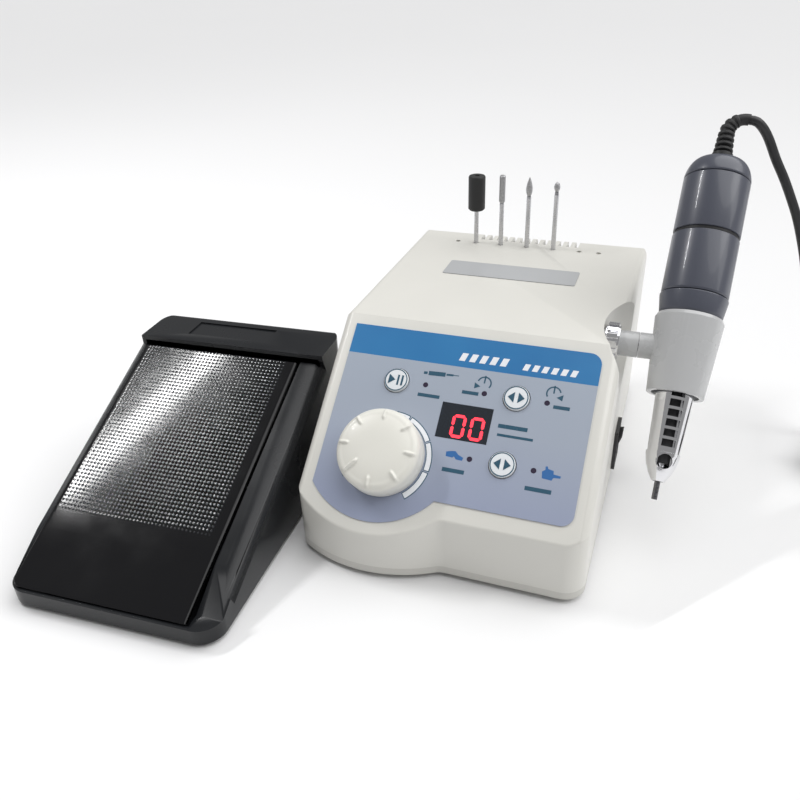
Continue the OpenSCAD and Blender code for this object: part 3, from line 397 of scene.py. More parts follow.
def quads(rows, columns, rows_close=False, columns_close=False):
    """Faces of a grid of points, row by row, that may close on itself either way."""
    i = np.arange(rows if rows_close else rows - 1)[:, None]
    j = np.arange(columns if columns_close else columns - 1)[None, :]
    after_i, after_j = (i + 1) % rows, (j + 1) % columns
    corners = [i * columns + j, i * columns + after_j, after_i * columns + after_j, after_i * columns + j]
    return np.stack([np.broadcast_to(c, (i.size, j.size)) for c in corners], -1).reshape(-1, 4).tolist()


def softened(corners, radius, steps=5):
    """A closed outline with each corner turned into an arc that touches both its edges.

    The arc's ends lie radius / tan(half the corner's angle) from the corner, and never past a third of
    an edge.
    """
    corners = np.asarray(corners, float)
    radii = np.broadcast_to(radius, len(corners))
    made = []
    for index, corner in enumerate(corners):
        before, after = corners[index - 1] - corner, corners[(index + 1) % len(corners)] - corner
        reach_before, reach_after = np.linalg.norm(before), np.linalg.norm(after)
        before, after = before / reach_before, after / reach_after
        half = math.acos(np.clip(before @ after, -1, 1)) / 2
        if radii[index] <= 0 or half > 1.55:
            made.append(corner)
            continue
        reach = min(radii[index] / math.tan(half), reach_before / 3, reach_after / 3)
        size = reach * math.tan(half)
        centre = corner + (before + after) / np.linalg.norm(before + after) * size / math.sin(half)
        start, end = corner + before * reach - centre, corner + after * reach - centre
        sweep = math.pi - 2 * half
        share = np.linspace(0, 1, steps)[:, None]
        arc = (np.sin((1 - share) * sweep) * start + np.sin(share * sweep) * end) / math.sin(sweep)
        made.extend(centre + arc)
    return np.array(made)


def turned(name, outline, start, axis, side, body, finish, slot, stands_for=(), steps=96, smooth_angle=40.0):
    """A turned piece: the closed outline's (radius, length) points, carried round the axis through start."""
    outline = np.asarray(outline, float)
    third = np.cross(axis, side)
    angle = np.arange(steps) * 2 * math.pi / steps
    around = np.cos(angle)[:, None] * side + np.sin(angle)[:, None] * third
    points = start + outline[:, None, 0, None] * around + outline[:, None, 1, None] * axis
    faces = quads(len(outline), steps, rows_close=True, columns_close=True)
    return add_piece(name, points, faces, body, finish, stands_for, smooth_angle)


def swept(name, path, radius, body, finish, stands_for=(), steps=16):
    """A tube of the given radius, one number or one for each point, along a path and closed at its ends.

    Each ring stands square to the path; its first direction is the last ring's, turned with the path.
    """
    path = np.asarray(path, float)
    ahead = np.gradient(path, axis=0)
    ahead /= np.linalg.norm(ahead, axis=1)[:, None]
    first = np.cross(ahead[0], [0, 0, 1.0] if abs(ahead[0][2]) < 0.9 else [1.0, 0, 0])
    sides = [first / np.linalg.norm(first)]
    for direction in ahead[1:]:
        flat = sides[-1] - (sides[-1] @ direction) * direction
        sides.append(flat / np.linalg.norm(flat))
    sides = np.array(sides)
    thirds = np.cross(ahead, sides)
    angle = np.arange(steps) * 2 * math.pi / steps
    radius = np.broadcast_to(radius, len(path))[:, None, None]
    around = np.cos(angle)[:, None] * sides[:, None] + np.sin(angle)[:, None] * thirds[:, None]
    points = path[:, None] + radius * around
    faces = quads(len(path), steps, columns_close=True)
    faces += [list(range(steps))[::-1], [(len(path) - 1) * steps + k for k in range(steps)]]
    return add_piece(name, points, faces, body, finish, stands_for, 60.0)


def eased(node, width, finish, angle=28.0, wide=None):
    """A copy of a CAD node with its edges rounded by width, which stands for the node.

    wide is a wider rounding and a rule that picks its edges, from their middles and their two faces'
    directions.
    """
    mesh = frame["nodes"][node].data.copy()
    shape = bmesh.new()
    shape.from_mesh(mesh)
    bmesh.ops.remove_doubles(shape, verts=shape.verts, dist=2e-6)
    bmesh.ops.dissolve_limit(shape, angle_limit=math.radians(0.6), verts=shape.verts, edges=shape.edges)
    if wide:
        joined = [edge for edge in shape.edges if len(edge.link_faces) == 2]
        middles = np.array([(edge.verts[0].co + edge.verts[1].co) / 2 for edge in joined])
        ways = np.array([[face.normal for face in edge.link_faces] for edge in joined])
        picked = [edge for edge, chosen in zip(joined, wide[1](middles, ways)) if chosen]
        bmesh.ops.bevel(shape, geom=picked, offset=wide[0], segments=6, profile=0.5, affect="EDGES",
                        clamp_overlap=True)
    clean = bpy.data.meshes.new(node + "_shape")
    shape.to_mesh(clean)
    shape.free()
    bpy.data.meshes.remove(mesh)
    clean.materials.append(finish.material)
    clean.shade_smooth()
    clean.set_sharp_from_angle(angle=math.radians(30))
    piece = bpy.data.objects.new(node + "_shown", clean)
    bpy.context.scene.collection.objects.link(piece)
    if width > 0:
        edge = piece.modifiers.new("Rounded edges", "BEVEL")
        edge.width = width
        edge.segments = 2
        edge.limit_method = "ANGLE"
        edge.angle_limit = math.radians(angle)
        edge.harden_normals = True
        edge.miter_outer = "MITER_ARC"
    body = [name for name, nodes in frame["record"]["behaviour"]["bodies"].items() if node in nodes][0]
    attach(piece, body)
    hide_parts(node)
    return piece


def paint(node, finish):
    """Gives a CAD node its finish."""
    mesh = frame["nodes"][node].data
    mesh.materials.clear()
    mesh.materials.append(finish.material)


def smooth_path(points, spacing):
    """A smooth curve through the points (Catmull-Rom), with a point about every spacing along it."""
    points = np.asarray(points, float)
    padded = np.vstack([2 * points[0] - points[1], points, 2 * points[-1] - points[-2]])
    share = np.linspace(0, 1, 24, endpoint=False)[:, None]
    made = []
    for p0, p1, p2, p3 in zip(padded, padded[1:], padded[2:], padded[3:]):
        made.append(0.5 * (2 * p1 + (p2 - p0) * share + (2 * p0 - 5 * p1 + 4 * p2 - p3) * share ** 2
                           + (3 * p1 - p0 - 3 * p2 + p3) * share ** 3))
    dense = np.vstack(made + [points[-1:]])
    along = np.concatenate([[0], np.cumsum(np.linalg.norm(np.diff(dense, axis=0), axis=1))])
    wanted = np.linspace(0, along[-1], max(int(along[-1] / spacing), 2) + 1)
    return np.stack([np.interp(wanted, along, dense[:, k]) for k in range(3)], 1)


# ------------------------------------------------------------------ strain relief and cord

cap_end = 84.7 * MM
relief_straight = 13 * MM
relief_round = 7 * MM
relief_turn = math.radians(100)


def relief_line(s):
    """The strain relief's centre line, s from the rear cap: straight, then an arc to the side."""
    turn = np.maximum(s - relief_straight, 0) / relief_round
    out = relief_round * (1 - np.cos(turn))
    along = cap_end + np.minimum(s, relief_straight) + relief_round * np.sin(turn)
    return pivot + out[:, None] * HAND_SIDE + along[:, None] * HAND_AXIS


def make_strain_relief():
    """Rubber sleeve with a collar and seven ribs that get smaller, each a rounded swelling of the core."""
    end = relief_straight + relief_round * relief_turn
    s = np.linspace(-2 * MM, end, 300)
    core = np.interp(s, [0, end], [2.7 * MM, 2.42 * MM])
    crest = np.interp(s, [3.5 * MM, 20.5 * MM], [4.1 * MM, 2.85 * MM])
    first_rib, rib_pitch, rib_width = 4 * MM, 2.5 * MM, 1.75 * MM
    across_rib = np.clip(((s - first_rib) % rib_pitch) / rib_width, 0, 1)
    wave = np.clip(1.15 * np.sin(np.pi * across_rib) ** 0.5, 0, 1)
    ribbed = (s > first_rib) & (s < first_rib + 7 * rib_pitch)
    radius = np.where(ribbed, core + (crest - core) * wave, core)
    radius = np.where(s < 3.2 * MM, 4.35 * MM, radius)
    swept("strain_relief_rubber", relief_line(s), radius, "hand", black_rubber,
          ["strain_relief"], steps=40)


# Points of the handpiece's lead down to the coil, and of the tail from it to the plug, in millimetres
# from the unit's middle
lead_points = [[110.4, 64.5, 137.5], [115.2, 64.5, 129.5], [119.5, 64.5, 121.5], [123.7, 64.5, 113],
               [127.3, 64.5, 104], [130.8, 64.5, 94], [133.7, 64.5, 84], [136.2, 64.5, 74], [138.5, 64.5, 64],
               [141, 64.5, 54], [143.5, 64.5, 44], [146, 64.5, 34.5], [149, 64.5, 25], [153, 64.5, 16.5],
               [158.5, 64.5, 9], [165.5, 64.5, 4.5], [173, 64.5, 3], [181, 64.5, 2.8]]
tail_points = [[204, 37.5, 10.8], [204.5, 28, 10.8], [205, 18, 10.2], [205, 9, 8.2], [205, 1, 6],
               [205, -7, 5.1], [205, -14, 5]]
coil_middle = [181, 37.5]
cord_width = 4 * MM
# The lead is cut at this one of its points, past the four that stand on the handpiece
lead_joint = 5
top_count = 4


def coil_line():
    """The coil's turns, clockwise from above: out, in and out again over three layers, a diameter apart.

    The radius and the height go from one turn's value to the next over the last fifth of each turn.
    """
    turn = np.linspace(0, 7.25, 7 * 40 + 11)
    whole = np.floor(turn).astype(int)
    share = np.clip((turn - whole - 0.8) / 0.2, 0, 1)
    share = share * share * (3 - 2 * share)
    radii = np.array([27, 23, 19, 19, 23, 27, 25, 23, 23])
    heights = np.array([2.8, 2.8, 2.8, 6.8, 6.8, 6.8, 10.8, 10.8, 10.8])
    radius = radii[whole] + (radii[whole + 1] - radii[whole]) * share
    height = heights[whole] + (heights[whole + 1] - heights[whole]) * share
    angle = math.pi / 2 - 2 * math.pi * turn
    x = coil_middle[0] + radius * np.cos(angle)
    y = coil_middle[1] + radius * np.sin(angle)
    return np.stack([x, y, height], 1)


def make_cord():
    """The cord in two lengths: one from the strain relief, and one from there through the coil to the plug."""
    tip = relief_line(np.array([relief_straight + relief_round * relief_turn]))[0]
    leaving = HAND_SIDE * math.sin(relief_turn) + HAND_AXIS * math.cos(relief_turn)
    top = tip + np.vstack([[0, 0, 0], 3 * leaving, [6.2, 0.9, -3.6], [9.4, 2, -8.4]]) * MM
    lead = np.vstack([top, np.array(lead_points) * MM + unit_middle])
    cut = lead_joint + top_count
    upper = smooth_path(lead, 1.6 * MM)
    split = np.argmin(np.linalg.norm(upper - lead[cut], axis=1))
    coil = coil_line() * MM + unit_middle
    tail = smooth_path(np.array(tail_points) * MM + unit_middle, 2 * MM)
    lower = np.vstack([upper[split:], coil[1:], tail[1:]])
    upper = upper[:split + 1]
    upper_piece = swept("lead_upper", upper, cord_width / 2, "hand", cord_rubber)
    upper_piece.parent = None
    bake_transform(upper_piece)
    lower_piece = swept("lead_lower", lower, cord_width / 2, "unit", cord_rubber,
                        ["cord_lead", "cord_coil", "cord_tail"], steps=12)
    lower_piece.parent = None
    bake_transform(lower_piece)
    return upper, lower, lower_piece


def make_plug(end):
    """The jack plug: ribbed sleeve, grip and steel tip with its two rings, along -Y from the cord's end."""
    start, axis, side = np.array(end), np.array([0, -1.0, 0]), np.array([1.0, 0, 0])
    ribs = [[2.6 + 0.09 * k + (0.45 if k % 2 else 0), 0.6 + 0.75 * k] for k in range(14)]
    grip = softened([[0, 0]] + ribs + [[4.4, 12], [5, 13.2], [5, 33], [4.2, 36], [0, 36]], 0.25, 4) * MM
    turned("plug_grip", grip, start, axis, side, "unit", black_plastic, "plug", ["cord_plug"], 48)
    tip = softened([[0, 35.9], [2.4, 35.9], [2.4, 36.8], [1.75, 36.8], [1.75, 45.6], [1.5, 46], [1.5, 46.3],
                    [1.75, 46.6], [1.35, 47.9], [1.75, 48.6], [0.6, 50], [0, 50]], 0.1, 3) * MM
    turned("plug_tip", tip, start, axis, side, "unit", steel, "steel", [], 32)


make_strain_relief()
cord_upper, cord_lower, cord_piece = make_cord()
make_plug(np.array(tail_points[-1]) * MM + unit_middle)
tie_piece = eased("coil_tie", 0.25 * MM, black_rubber)

# ------------------------------------------------------------------ control unit


def front_edges(middles, ways):
    """The edges where the sloping panel's face meets the walls round it."""
    place = middles - np.array([middle_x, crease_y, deck_z])
    low_end, side_start = 68 * MM, 54 * MM
    outer = (place @ -PANEL_UP > low_end) | (np.abs(place[:, 0]) > side_start)
    on_slope = (ways @ PANEL_OUT > 0.995).any(1)
    on_wall = (np.abs(ways[..., 2]) < 0.1).any(1)
    return outer & on_slope & on_wall


eased("upper_case", 0.5 * MM, ivory, wide=(3 * MM, front_edges))
eased("lower_case", 0.4 * MM, base_grey)
eased("nameplate", 0.12 * MM, plate_grey)
eased("cradle_hub", 0.3 * MM, chrome)
for node, width, finish, slot in (("mains_inlet", 0.4, black_plastic, "black_plastic"),
                                  ("switch_frame", 0.35, black_plastic, "black_plastic"),
                                  ("switch_rocker", 0.35, black_plastic, "black_plastic"),
                                  ("hand_socket", 0.3, black_plastic, "black_plastic"),
                                  ("foot_socket", 0.3, black_plastic, "black_plastic"),
                                  ("rubber_feet", 0.5, foot_rubber, "foot"),
                                  ("case_screws", 0.15, steel, "steel")):
    eased(node, width * MM, finish)
for node, finish in (("panel_film", film), ("display_window", window), ("display_module", black_plastic),
                     ("indicator_lamps", lamp_dark), ("panel_board", board_green),
                     ("main_board", board_green), ("pedal_board", board_green), ("speed_pot", steel),
                     ("knob_shaft", steel), ("cradle_screw", steel), ("transformer", copper),
                     ("heat_sink", aluminium), ("motor_can", steel), ("spindle", steel),
                     ("collet", steel), ("treadle_pin", steel)):
    paint(node, finish)

knob_at = (-26 * MM, 62.5 * MM)


def make_knob():
    """Domed knob with seven short ridges round its top edge and a longer one as its mark.

    The top is a shallow dome that rolls over into the side; a ridge adds a rounded bar, as high as the
    product of one smooth window along the radius and one across the angle.
    """
    outer, low, top = 17.5, 1.2, 14.2
    bend = np.linspace(0, math.pi / 2, 10)
    dome = np.linspace(0, 1, 26)
    top_line = [[r * 14.4, top - 1.5 * r ** 3] for r in dome]
    roll = [[14.4 + 3.1 * math.sin(a), top - 4.6 + 3.1 * math.cos(a)] for a in bend[1:]]
    side = [[outer, 6], [outer, low + 0.5], [outer - 0.3, low + 0.1]]
    inside = [[14.6, low], [14.5, 9.4], [5.5, 9.4], [5.5, low + 0.4], [3, low + 0.4], [3, 11.6], [0, 11.6]]
    outline = np.array(top_line + roll + side + inside) * MM
    steps = 240
    angle = np.arange(steps) * 2 * math.pi / steps
    radius = outline[:, None, 0] + 0 * angle[None]
    height = outline[:, None, 1] + 0 * angle[None]
    on_top = (np.arange(len(outline)) < len(top_line) + 5)[:, None]
    for index in range(8):
        at = math.radians(90 - index * 45)
        long = index == 5
        across = np.abs((angle[None] - at + math.pi) % (2 * math.pi) - math.pi) * radius / MM
        inner_end = 9.2 if long else 12.4
        reach = 1 / (1 + np.exp(-(radius / MM - inner_end) * 5)) / (1 + np.exp((radius / MM - 16.4) * 5))
        height = height + on_top * 1.05 * MM * np.exp(-(across / 0.6) ** 4) * reach
    around = np.cos(angle)[:, None] * PANEL_RIGHT + np.sin(angle)[:, None] * PANEL_UP
    start = on_panel(knob_at[0], knob_at[1])
    points = start + radius[..., None] * around + height[..., None] * PANEL_OUT
    faces = quads(len(outline), steps, rows_close=True, columns_close=True)
    add_piece("knob_cap", points, faces, "knob", knob_ivory, ["speed_knob"], 50.0)


def flat_print(name, shapes, body, finish, out):
    """Flat printed shapes on the panel: each is an outline of (x, down) points in millimetres."""
    points, faces = [], []
    for outline in shapes:
        outline = np.asarray(outline, float)
        area = np.sum(outline[:, 0] * np.roll(outline[:, 1], -1) - np.roll(outline[:, 0], -1) * outline[:, 1])
        outline = outline[::-1] if area > 0 else outline
        first = len(points)
        points.extend(on_panel(outline[:, 0] * MM, outline[:, 1] * MM, out * MM))
        faces.append(list(range(first, first + len(outline))))
    return add_piece(name, points, faces, body, finish, outward=False)


def band_part(at, inner, outer_start, outer_end, start, end, steps=40):
    """Outline of a part of a ring whose outer radius changes evenly with the angle.

    Angles are in degrees, clockwise from the top of the panel.
    """
    angle = np.radians(np.linspace(start, end, steps))
    outer = np.linspace(outer_start, outer_end, steps)
    out = np.stack([at[0] + outer * np.sin(angle), at[1] - outer * np.cos(angle)], 1)
    back = np.stack([at[0] + inner * np.sin(angle), at[1] - inner * np.cos(angle)], 1)[::-1]
    return np.vstack([out, back])


def ring_part(at, inner, outer, start, end, steps=40):
    """Outline of a part of an even ring."""
    return band_part(at, inner, outer, outer, start, end, steps)


def bar(x, down, length, thick, turn=0.0, slant=0.0):
    """Outline of a straight bar with its middle at (x, down), turned and slanted by degrees."""
    corners = np.array([[-length, -thick], [length, -thick], [length, thick], [-length, thick]]) / 2
    corners[:, 0] -= corners[:, 1] * math.tan(math.radians(slant))
    a = math.radians(turn)
    turned_by = np.array([[math.cos(a), math.sin(a)], [-math.sin(a), math.cos(a)]])
    return corners @ turned_by + [x, down]


def print_dial():
    """White dial steps round the knob that get wider clockwise, each with a dark outline."""
    at = (knob_at[0] / MM, knob_at[1] / MM)
    white, dark = [], []
    edges = np.array([-128, -88, -42, -20, 22, 62, 100, 142])
    widths = np.linspace(0.8, 2.3, len(edges))
    inner, gap = 18.1, 1.6
    for index in range(len(edges) - 1):
        start, end = edges[index] + gap, edges[index + 1] - gap
        outer_start, outer_end = inner + widths[index], inner + widths[index + 1]
        dark.append(band_part(at, inner - 0.35, outer_start + 0.4, outer_end + 0.4, start - 0.9, end + 0.9))
        white.append(band_part(at, inner, outer_start, outer_end, start, end))
    return white, dark


def print_icons():
    """Small dark symbols beside the lamps: handpiece, two turning arrows, shoe and hand, with plain bars."""
    dark, blue = [], []
    # handpiece: body, neck and tip over the first lamp
    dark += [bar(-12.2, 23.4, 7.4, 1.9, -2), bar(-17.2, 23.6, 1.6, 1.2, -2), bar(-6.6, 23.1, 3.0, 0.9, -2),
             bar(-3.9, 23.0, 2.4, 0.35, -2)]
    dark.append(bar(-13.6, 33.6, 9.6, 1.5))
    # turning arrows, to the left of the turn button and to its right
    for x, way in ((8.6, -1), (37.4, 1)):
        dark.append(ring_part((x, 24.6), 2.5, 3.1, -125 if way > 0 else -75, 75 if way > 0 else 125, 30))
        tip = np.array([[0, -1.5], [2.3, 0], [0, 1.5]])
        turn = math.radians(60 if way > 0 else 120)
        rotate = np.array([[math.cos(turn), math.sin(turn)], [-math.sin(turn), math.cos(turn)]])
        dark.append(tip @ rotate + [x + way * 2.7, 25.4])
        dark.append(bar(x, 22.9, 0.6, 3.4))
    dark += [bar(3.6, 29.6, 7.0, 1.5), bar(41.5, 30.2, 6.6, 1.5)]
    # two bars beside the display
    dark += [bar(24.0, 41.6, 12.0, 1.7), bar(25.6, 45.4, 14.6, 1.1)]
    # shoe to the left of its lamp, and a bar below it
    blue.append([[-0.6, 56.0], [-0.4, 57.9], [2.4, 58.1], [3.0, 57.5], [4.0, 58.6], [6.6, 58.7], [6.9, 57.4],
                 [4.6, 56.5], [3.2, 55.2], [1.4, 55.4]])
    dark.append(bar(3.9, 63.4, 9.2, 1.7))
    # hand to the right of its lamp, and a bar below it
    blue.append([[38.8, 57.2], [39.2, 59.9], [43.0, 60.2], [43.6, 59.0], [46.2, 58.8], [46.3, 57.9],
                 [43.4, 57.6], [43.2, 56.2], [41.0, 55.8], [40.6, 54.8], [39.8, 55.0], [40.0, 56.3]])
    dark.append(bar(38.6, 64.9, 10.4, 1.7))
    return dark, blue


def print_digits():
    """Two lit zeros of six bars each, low and right of the window's middle; a bar is a stretched hexagon."""
    window_middle = np.array([4, 42.8])
    middle = window_middle + [1.7, 1.9]
    bars = []

    def add_bar(x, down, length, upright, thick=1.25):
        half, slant = length / 2, thick / 2
        outline = np.array([[-half, 0], [-half + slant, slant], [half - slant, slant], [half, 0],
                            [half - slant, -slant], [-half + slant, -slant]])
        bars.append((outline[:, ::-1] if upright else outline) + middle + [x, down])

    for x in (-3.9, 3.9):
        for side in (-1, 1):
            add_bar(x, side * 4.4, 4.5, False)
            for half in (-1, 1):
                add_bar(x + side * 2.35, half * 2.2, 4.1, True)
    lit = flat_print("digits_lit", bars, "unit", red_light, 0.53)
    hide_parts("display_digits")


def print_panel():
    """The film's print: dial, symbols and bars, and two rows of slanted bars in the blue band."""
    white, dark = print_dial()
    symbols, blue = print_icons()
    slanted = [bar(-2.5 + 4.4 * k, 14.2, 2.6, 3.6, 0, 18) for k in range(5)]
    slanted += [bar(24.5 + 3.9 * k, 15.0, 2.3, 2.9, 0, 18) for k in range(6)]
    flat_print("panel_print_dark", dark + symbols, "unit", teal_print, 0.53)
    flat_print("panel_print_white", white + slanted, "unit", white_print, 0.56)
    flat_print("panel_print_blue", blue, "unit", blue_print, 0.53)


def make_button(name, at, symbols):
    """A white push button: softly domed cap, dark ring near its edge and its symbols."""
    body = name.split("_")[1]
    outline = softened([[0, 1.62], [4.6, 1.5], [5.3, 1.2], [5.3, -2.4], [6.5, -2.6], [6.5, -3.4],
                        [0, -3.4]], 0.35)
    turned(name + "_cap", outline * MM, on_panel(at[0] * MM, at[1] * MM), PANEL_OUT, PANEL_RIGHT,
           body, button_white, "button", [name], 64)
    ring = [ring_part(at, 4.55, 5.0, 0, 180), ring_part(at, 4.55, 5.0, 180, 360)]
    flat_print(name + "_ring", ring, body, teal_print, 1.56)
    shapes = [np.asarray(shape, float) + at for shape in symbols]
    flat_print(name + "_symbol", shapes, body, teal_print, 1.66)


both_ways = [[[-0.8, -2.3], [-0.8, 2.3], [-3.5, 0]], [[0.8, -2.3], [0.8, 2.3], [3.5, 0]]]
start_stop = [[[-3.3, -2.2], [-3.3, 2.2], [-0.3, 0]], bar(0.9, 0, 0.8, 4.6), bar(2.7, 0, 0.8, 4.6)]

make_knob()
print_panel()
print_digits()
make_button("button_play", (-29, 29), start_stop)
make_button("button_turn", (23, 29), both_ways)
make_button("button_source", (23, 57.5), both_ways)

# ------------------------------------------------------------------ bits


def make_bits():
    """The four stored bits: turned shanks, a sanding drum, and diamond heads of three shapes."""
    up, side = np.array([0, 0, 1.0]), np.array([1.0, 0, 0])
    rack_y = back_y - 16 * MM
    shank = 1.175

    def bit(name, x, outline, finish, slot, part="shank"):
        start = np.array([middle_x + x * MM, rack_y, deck_z])
        turned(f"{name}_{part}", np.array(outline) * MM, start, up, side, name[4:], finish, slot,
               [name] if part == "shank" else [], 48, 35.0)

    def stem(top):
        return softened([[0, -9.2], [shank, -9.2], [shank, top - 2], [0.9, top], [0, top]], 0.15, 3)

    for name, x, top in (("bit_mandrel", -27.5, 20), ("bit_barrel", -14, 24), ("bit_flame", 0, 28),
                         ("bit_oval", 14, 30.5)):
        bit(name, x, stem(top), steel, "bit_steel")
    drum = softened([[0, 18], [3.6, 18], [4.4, 18.8], [4.4, 35.2], [4.0, 36], [1.3, 36.1], [1.3, 35.4],
                     [0, 35.4]], 0.3)
    bit("bit_mandrel", -27.5, drum, black_rubber, "bit_rubber", "drum")
    barrel = softened([[0, 22.5], [1.1, 22.8], [1.55, 23.6], [1.55, 36.4], [1.1, 37], [0, 37]], 0.25)
    bit("bit_barrel", -14, barrel, bit_grit, "bit_steel", "head")
    share = np.linspace(0, 1, 24)
    flame = np.stack([1.62 * np.sin(np.pi * share ** 0.72) ** 0.85 + 0.02, 26.6 + 10.4 * share], 1)
    bit("bit_flame", 0, np.vstack([[0, 26.6], flame, [0, 37]]), bit_grit, "bit_steel", "head")
    oval = np.stack([1.5 * np.sin(np.pi * share) ** 0.6 + 0.02, 30 + 5.4 * share], 1)
    bit("bit_oval", 14, np.vstack([[0, 30], oval, [0, 35.4]]), bit_grit, "bit_steel", "head")


make_bits()

# ------------------------------------------------------------------ cradle and handpiece

seat, lock_top, sleeve_top = 14.0, 23.0, 75.0
sleeve = 13.75
seam = (lock_top + sleeve_top) / 2 + 0.2


def hand_piece(name, outline, finish, slot, nodes, body="hand", radius=0.35):
    """A turned piece of the handpiece, from (radius, place along its axis) corners in millimetres."""
    turned(name, softened(outline, radius) * MM, pivot, HAND_AXIS, HAND_SIDE, body, finish, slot, nodes, 128)


def make_handpiece():
    """Slate sleeves with dark seams between them, a domed rear cap and a turned front cone."""
    hand_piece("front_cone_shell", [[9.4, -11.9], [10.2, -11.2], [11.9, 14], [10.4, 14.05], [10.4, 26],
                                    [8.7, 26], [8.7, 12], [5.7, -6], [5.7, -11.9]], slate, "grip",
               ["front_cone"])
    hand_piece("lock_ring_shell", [[12.5, seat + 0.3], [13.0, seat + 1.3], [14.1, lock_top - 0.1],
                                   [10.5, lock_top - 0.1], [10.5, seat + 0.3]], slate, "grip", ["lock_ring"],
               "lock", [0.3, 0.8, 0.45, 0.1, 0.1])
    hand_piece("grip_shell", [[13.45, lock_top + 0.3], [sleeve, lock_top + 1.2], [sleeve, seam - 0.1],
                              [11.8, seam - 0.1], [11.8, lock_top + 3], [10.45, lock_top + 3],
                              [10.45, lock_top + 0.3]], slate, "grip", ["grip_sleeve"])
    hand_piece("seam_band", [[11.7, seam - 0.12], [13.1, seam - 0.12], [13.1, seam + 1.52],
                             [11.7, seam + 1.52]], slate_dark, "black_plastic", ["seam_ring"], radius=0.1)
    hand_piece("motor_shell", [[sleeve, seam + 1.5], [sleeve, sleeve_top - 0.25], [11.8, sleeve_top - 0.25],
                               [11.8, seam + 1.5]], slate, "grip", ["motor_sleeve"])
    dome = np.linspace(0, 1, 20)
    crown = np.stack([5.2 + (sleeve - 5.2) * np.cos(dome * math.pi / 2) ** 0.62,
                      sleeve_top + 0.15 + 9.3 * np.sin(dome * math.pi / 2) ** 1.3], 1)
    cap = np.vstack([[9.8, sleeve_top + 0.15], [sleeve - 0.3, sleeve_top + 0.15], crown[1:],
                     [4.4, 84.6], [4.4, 81.6]])
    turned("rear_cap_shell", cap * MM, pivot, HAND_AXIS, HAND_SIDE, "hand", slate, "grip",
           ["rear_cap"], 128, 55.0)


make_handpiece()
# A dark tube inside the neck: painted shade that fills the neck's windows and the nose's side hole, and hides the
# spindle and collet behind them.
hand_piece("neck_painted_shade", [[4.25, -49], [4.5, -49], [4.5, -14], [4.25, -14]], slate_dark,
           "black_plastic", [], radius=0)
eased("neck", 0.25 * MM, chrome)
eased("nose_cone", 0.3 * MM, chrome)
eased("chuck_pin", 0.15 * MM, dark_steel)
eased("cradle", 0.45 * MM, cradle_grey)
eased("cradle_boss", 0.3 * MM, cradle_grey)

# ------------------------------------------------------------------ pedal


def mark_tread(piece):
    """Writes how strongly each point of the treadle takes the tread: full in the middle of its slope."""
    place = np.empty(len(piece.data.vertices) * 3, np.float32)
    piece.data.vertices.foreach_get("co", place)
    place = place.reshape(-1, 3) - pedal_corner
    x, y = place @ PEDAL_RIGHT / MM, place @ PEDAL_BACK / MM
    inside = np.clip(x / 3 - 1.5, 0, 1) * np.clip((80 - x) / 3, 0, 1) * np.clip((y - 34) / 3, 0, 1)
    zone = piece.data.attributes.new("tread", "FLOAT", "POINT")
    zone.data.foreach_set("value", inside.astype(np.float32))


def make_treadle():
    """The treadle's plate: a sloping top, a heel apron and rounded edges, on a grid across and along.

    Along, the profile runs down the back edge, the plate, the apron and back underneath; across, each row
    rolls over at both sides on a small quarter round.
    """
    profile = softened([[119.5, 60], [26, 20.5], [0.9, 9.7], [4, 9.7], [27.2, 18], [119.5, 57.5]],
                       [1.0, 3.0, 1.2, 0.3, 2.0, 0.5], 8)
    closed = np.vstack([profile, profile[:1]])
    along = np.concatenate([[0], np.cumsum(np.linalg.norm(np.diff(closed, axis=0), axis=1))])
    wanted = np.unique(np.concatenate([along[:-1], np.arange(0, along[-1], 1.2)]))
    line = np.stack([np.interp(wanted, along, closed[:, k]) for k in range(2)], 1)
    centre = np.array([62.0, 35.0])
    share = np.linspace(0, math.pi / 2, 5)
    left = [[2.7 + 1.2 * (1 - math.sin(a)), 1.2 * (1 - math.cos(a))] for a in share[::-1]]
    middle = [[x, 0] for x in np.arange(5, 82, 1.5)]
    right = [[83.9 - 1.2 * (1 - math.sin(a)), 1.2 * (1 - math.cos(a))] for a in share]
    columns = np.array(left + middle + right)
    ahead = np.roll(line, -1, 0) - np.roll(line, 1, 0)
    ahead /= np.linalg.norm(ahead, axis=1)[:, None] + 1e-12
    inward = np.stack([-ahead[:, 1], ahead[:, 0]], 1)
    inward *= np.sign(np.sum((centre - line) * inward, axis=1))[:, None]
    depth = np.minimum(columns[None, :, 1], 1.0)[..., None]
    place = line[:, None] + depth * inward[:, None]
    corner = np.maximum(0, 10 - columns[:, 0]) ** 2
    round_off = 9.2 - np.sqrt(np.maximum(9.2 ** 2 - corner, 0))
    y = np.maximum(place[..., 0], 0.9 + round_off[None])
    points = on_pedal(columns[None, :, 0] * MM, y * MM, place[..., 1] * MM)
    rows = len(line)
    faces = quads(rows, len(columns), rows_close=True)
    left_cap = [row * len(columns) for row in range(rows)]
    right_cap = [row * len(columns) + len(columns) - 1 for row in range(rows)][::-1]
    faces += [left_cap, right_cap]
    piece = add_piece("treadle_plate", points, faces, "treadle", tread, ["pedal_treadle"], 40.0)
    mark_tread(piece)


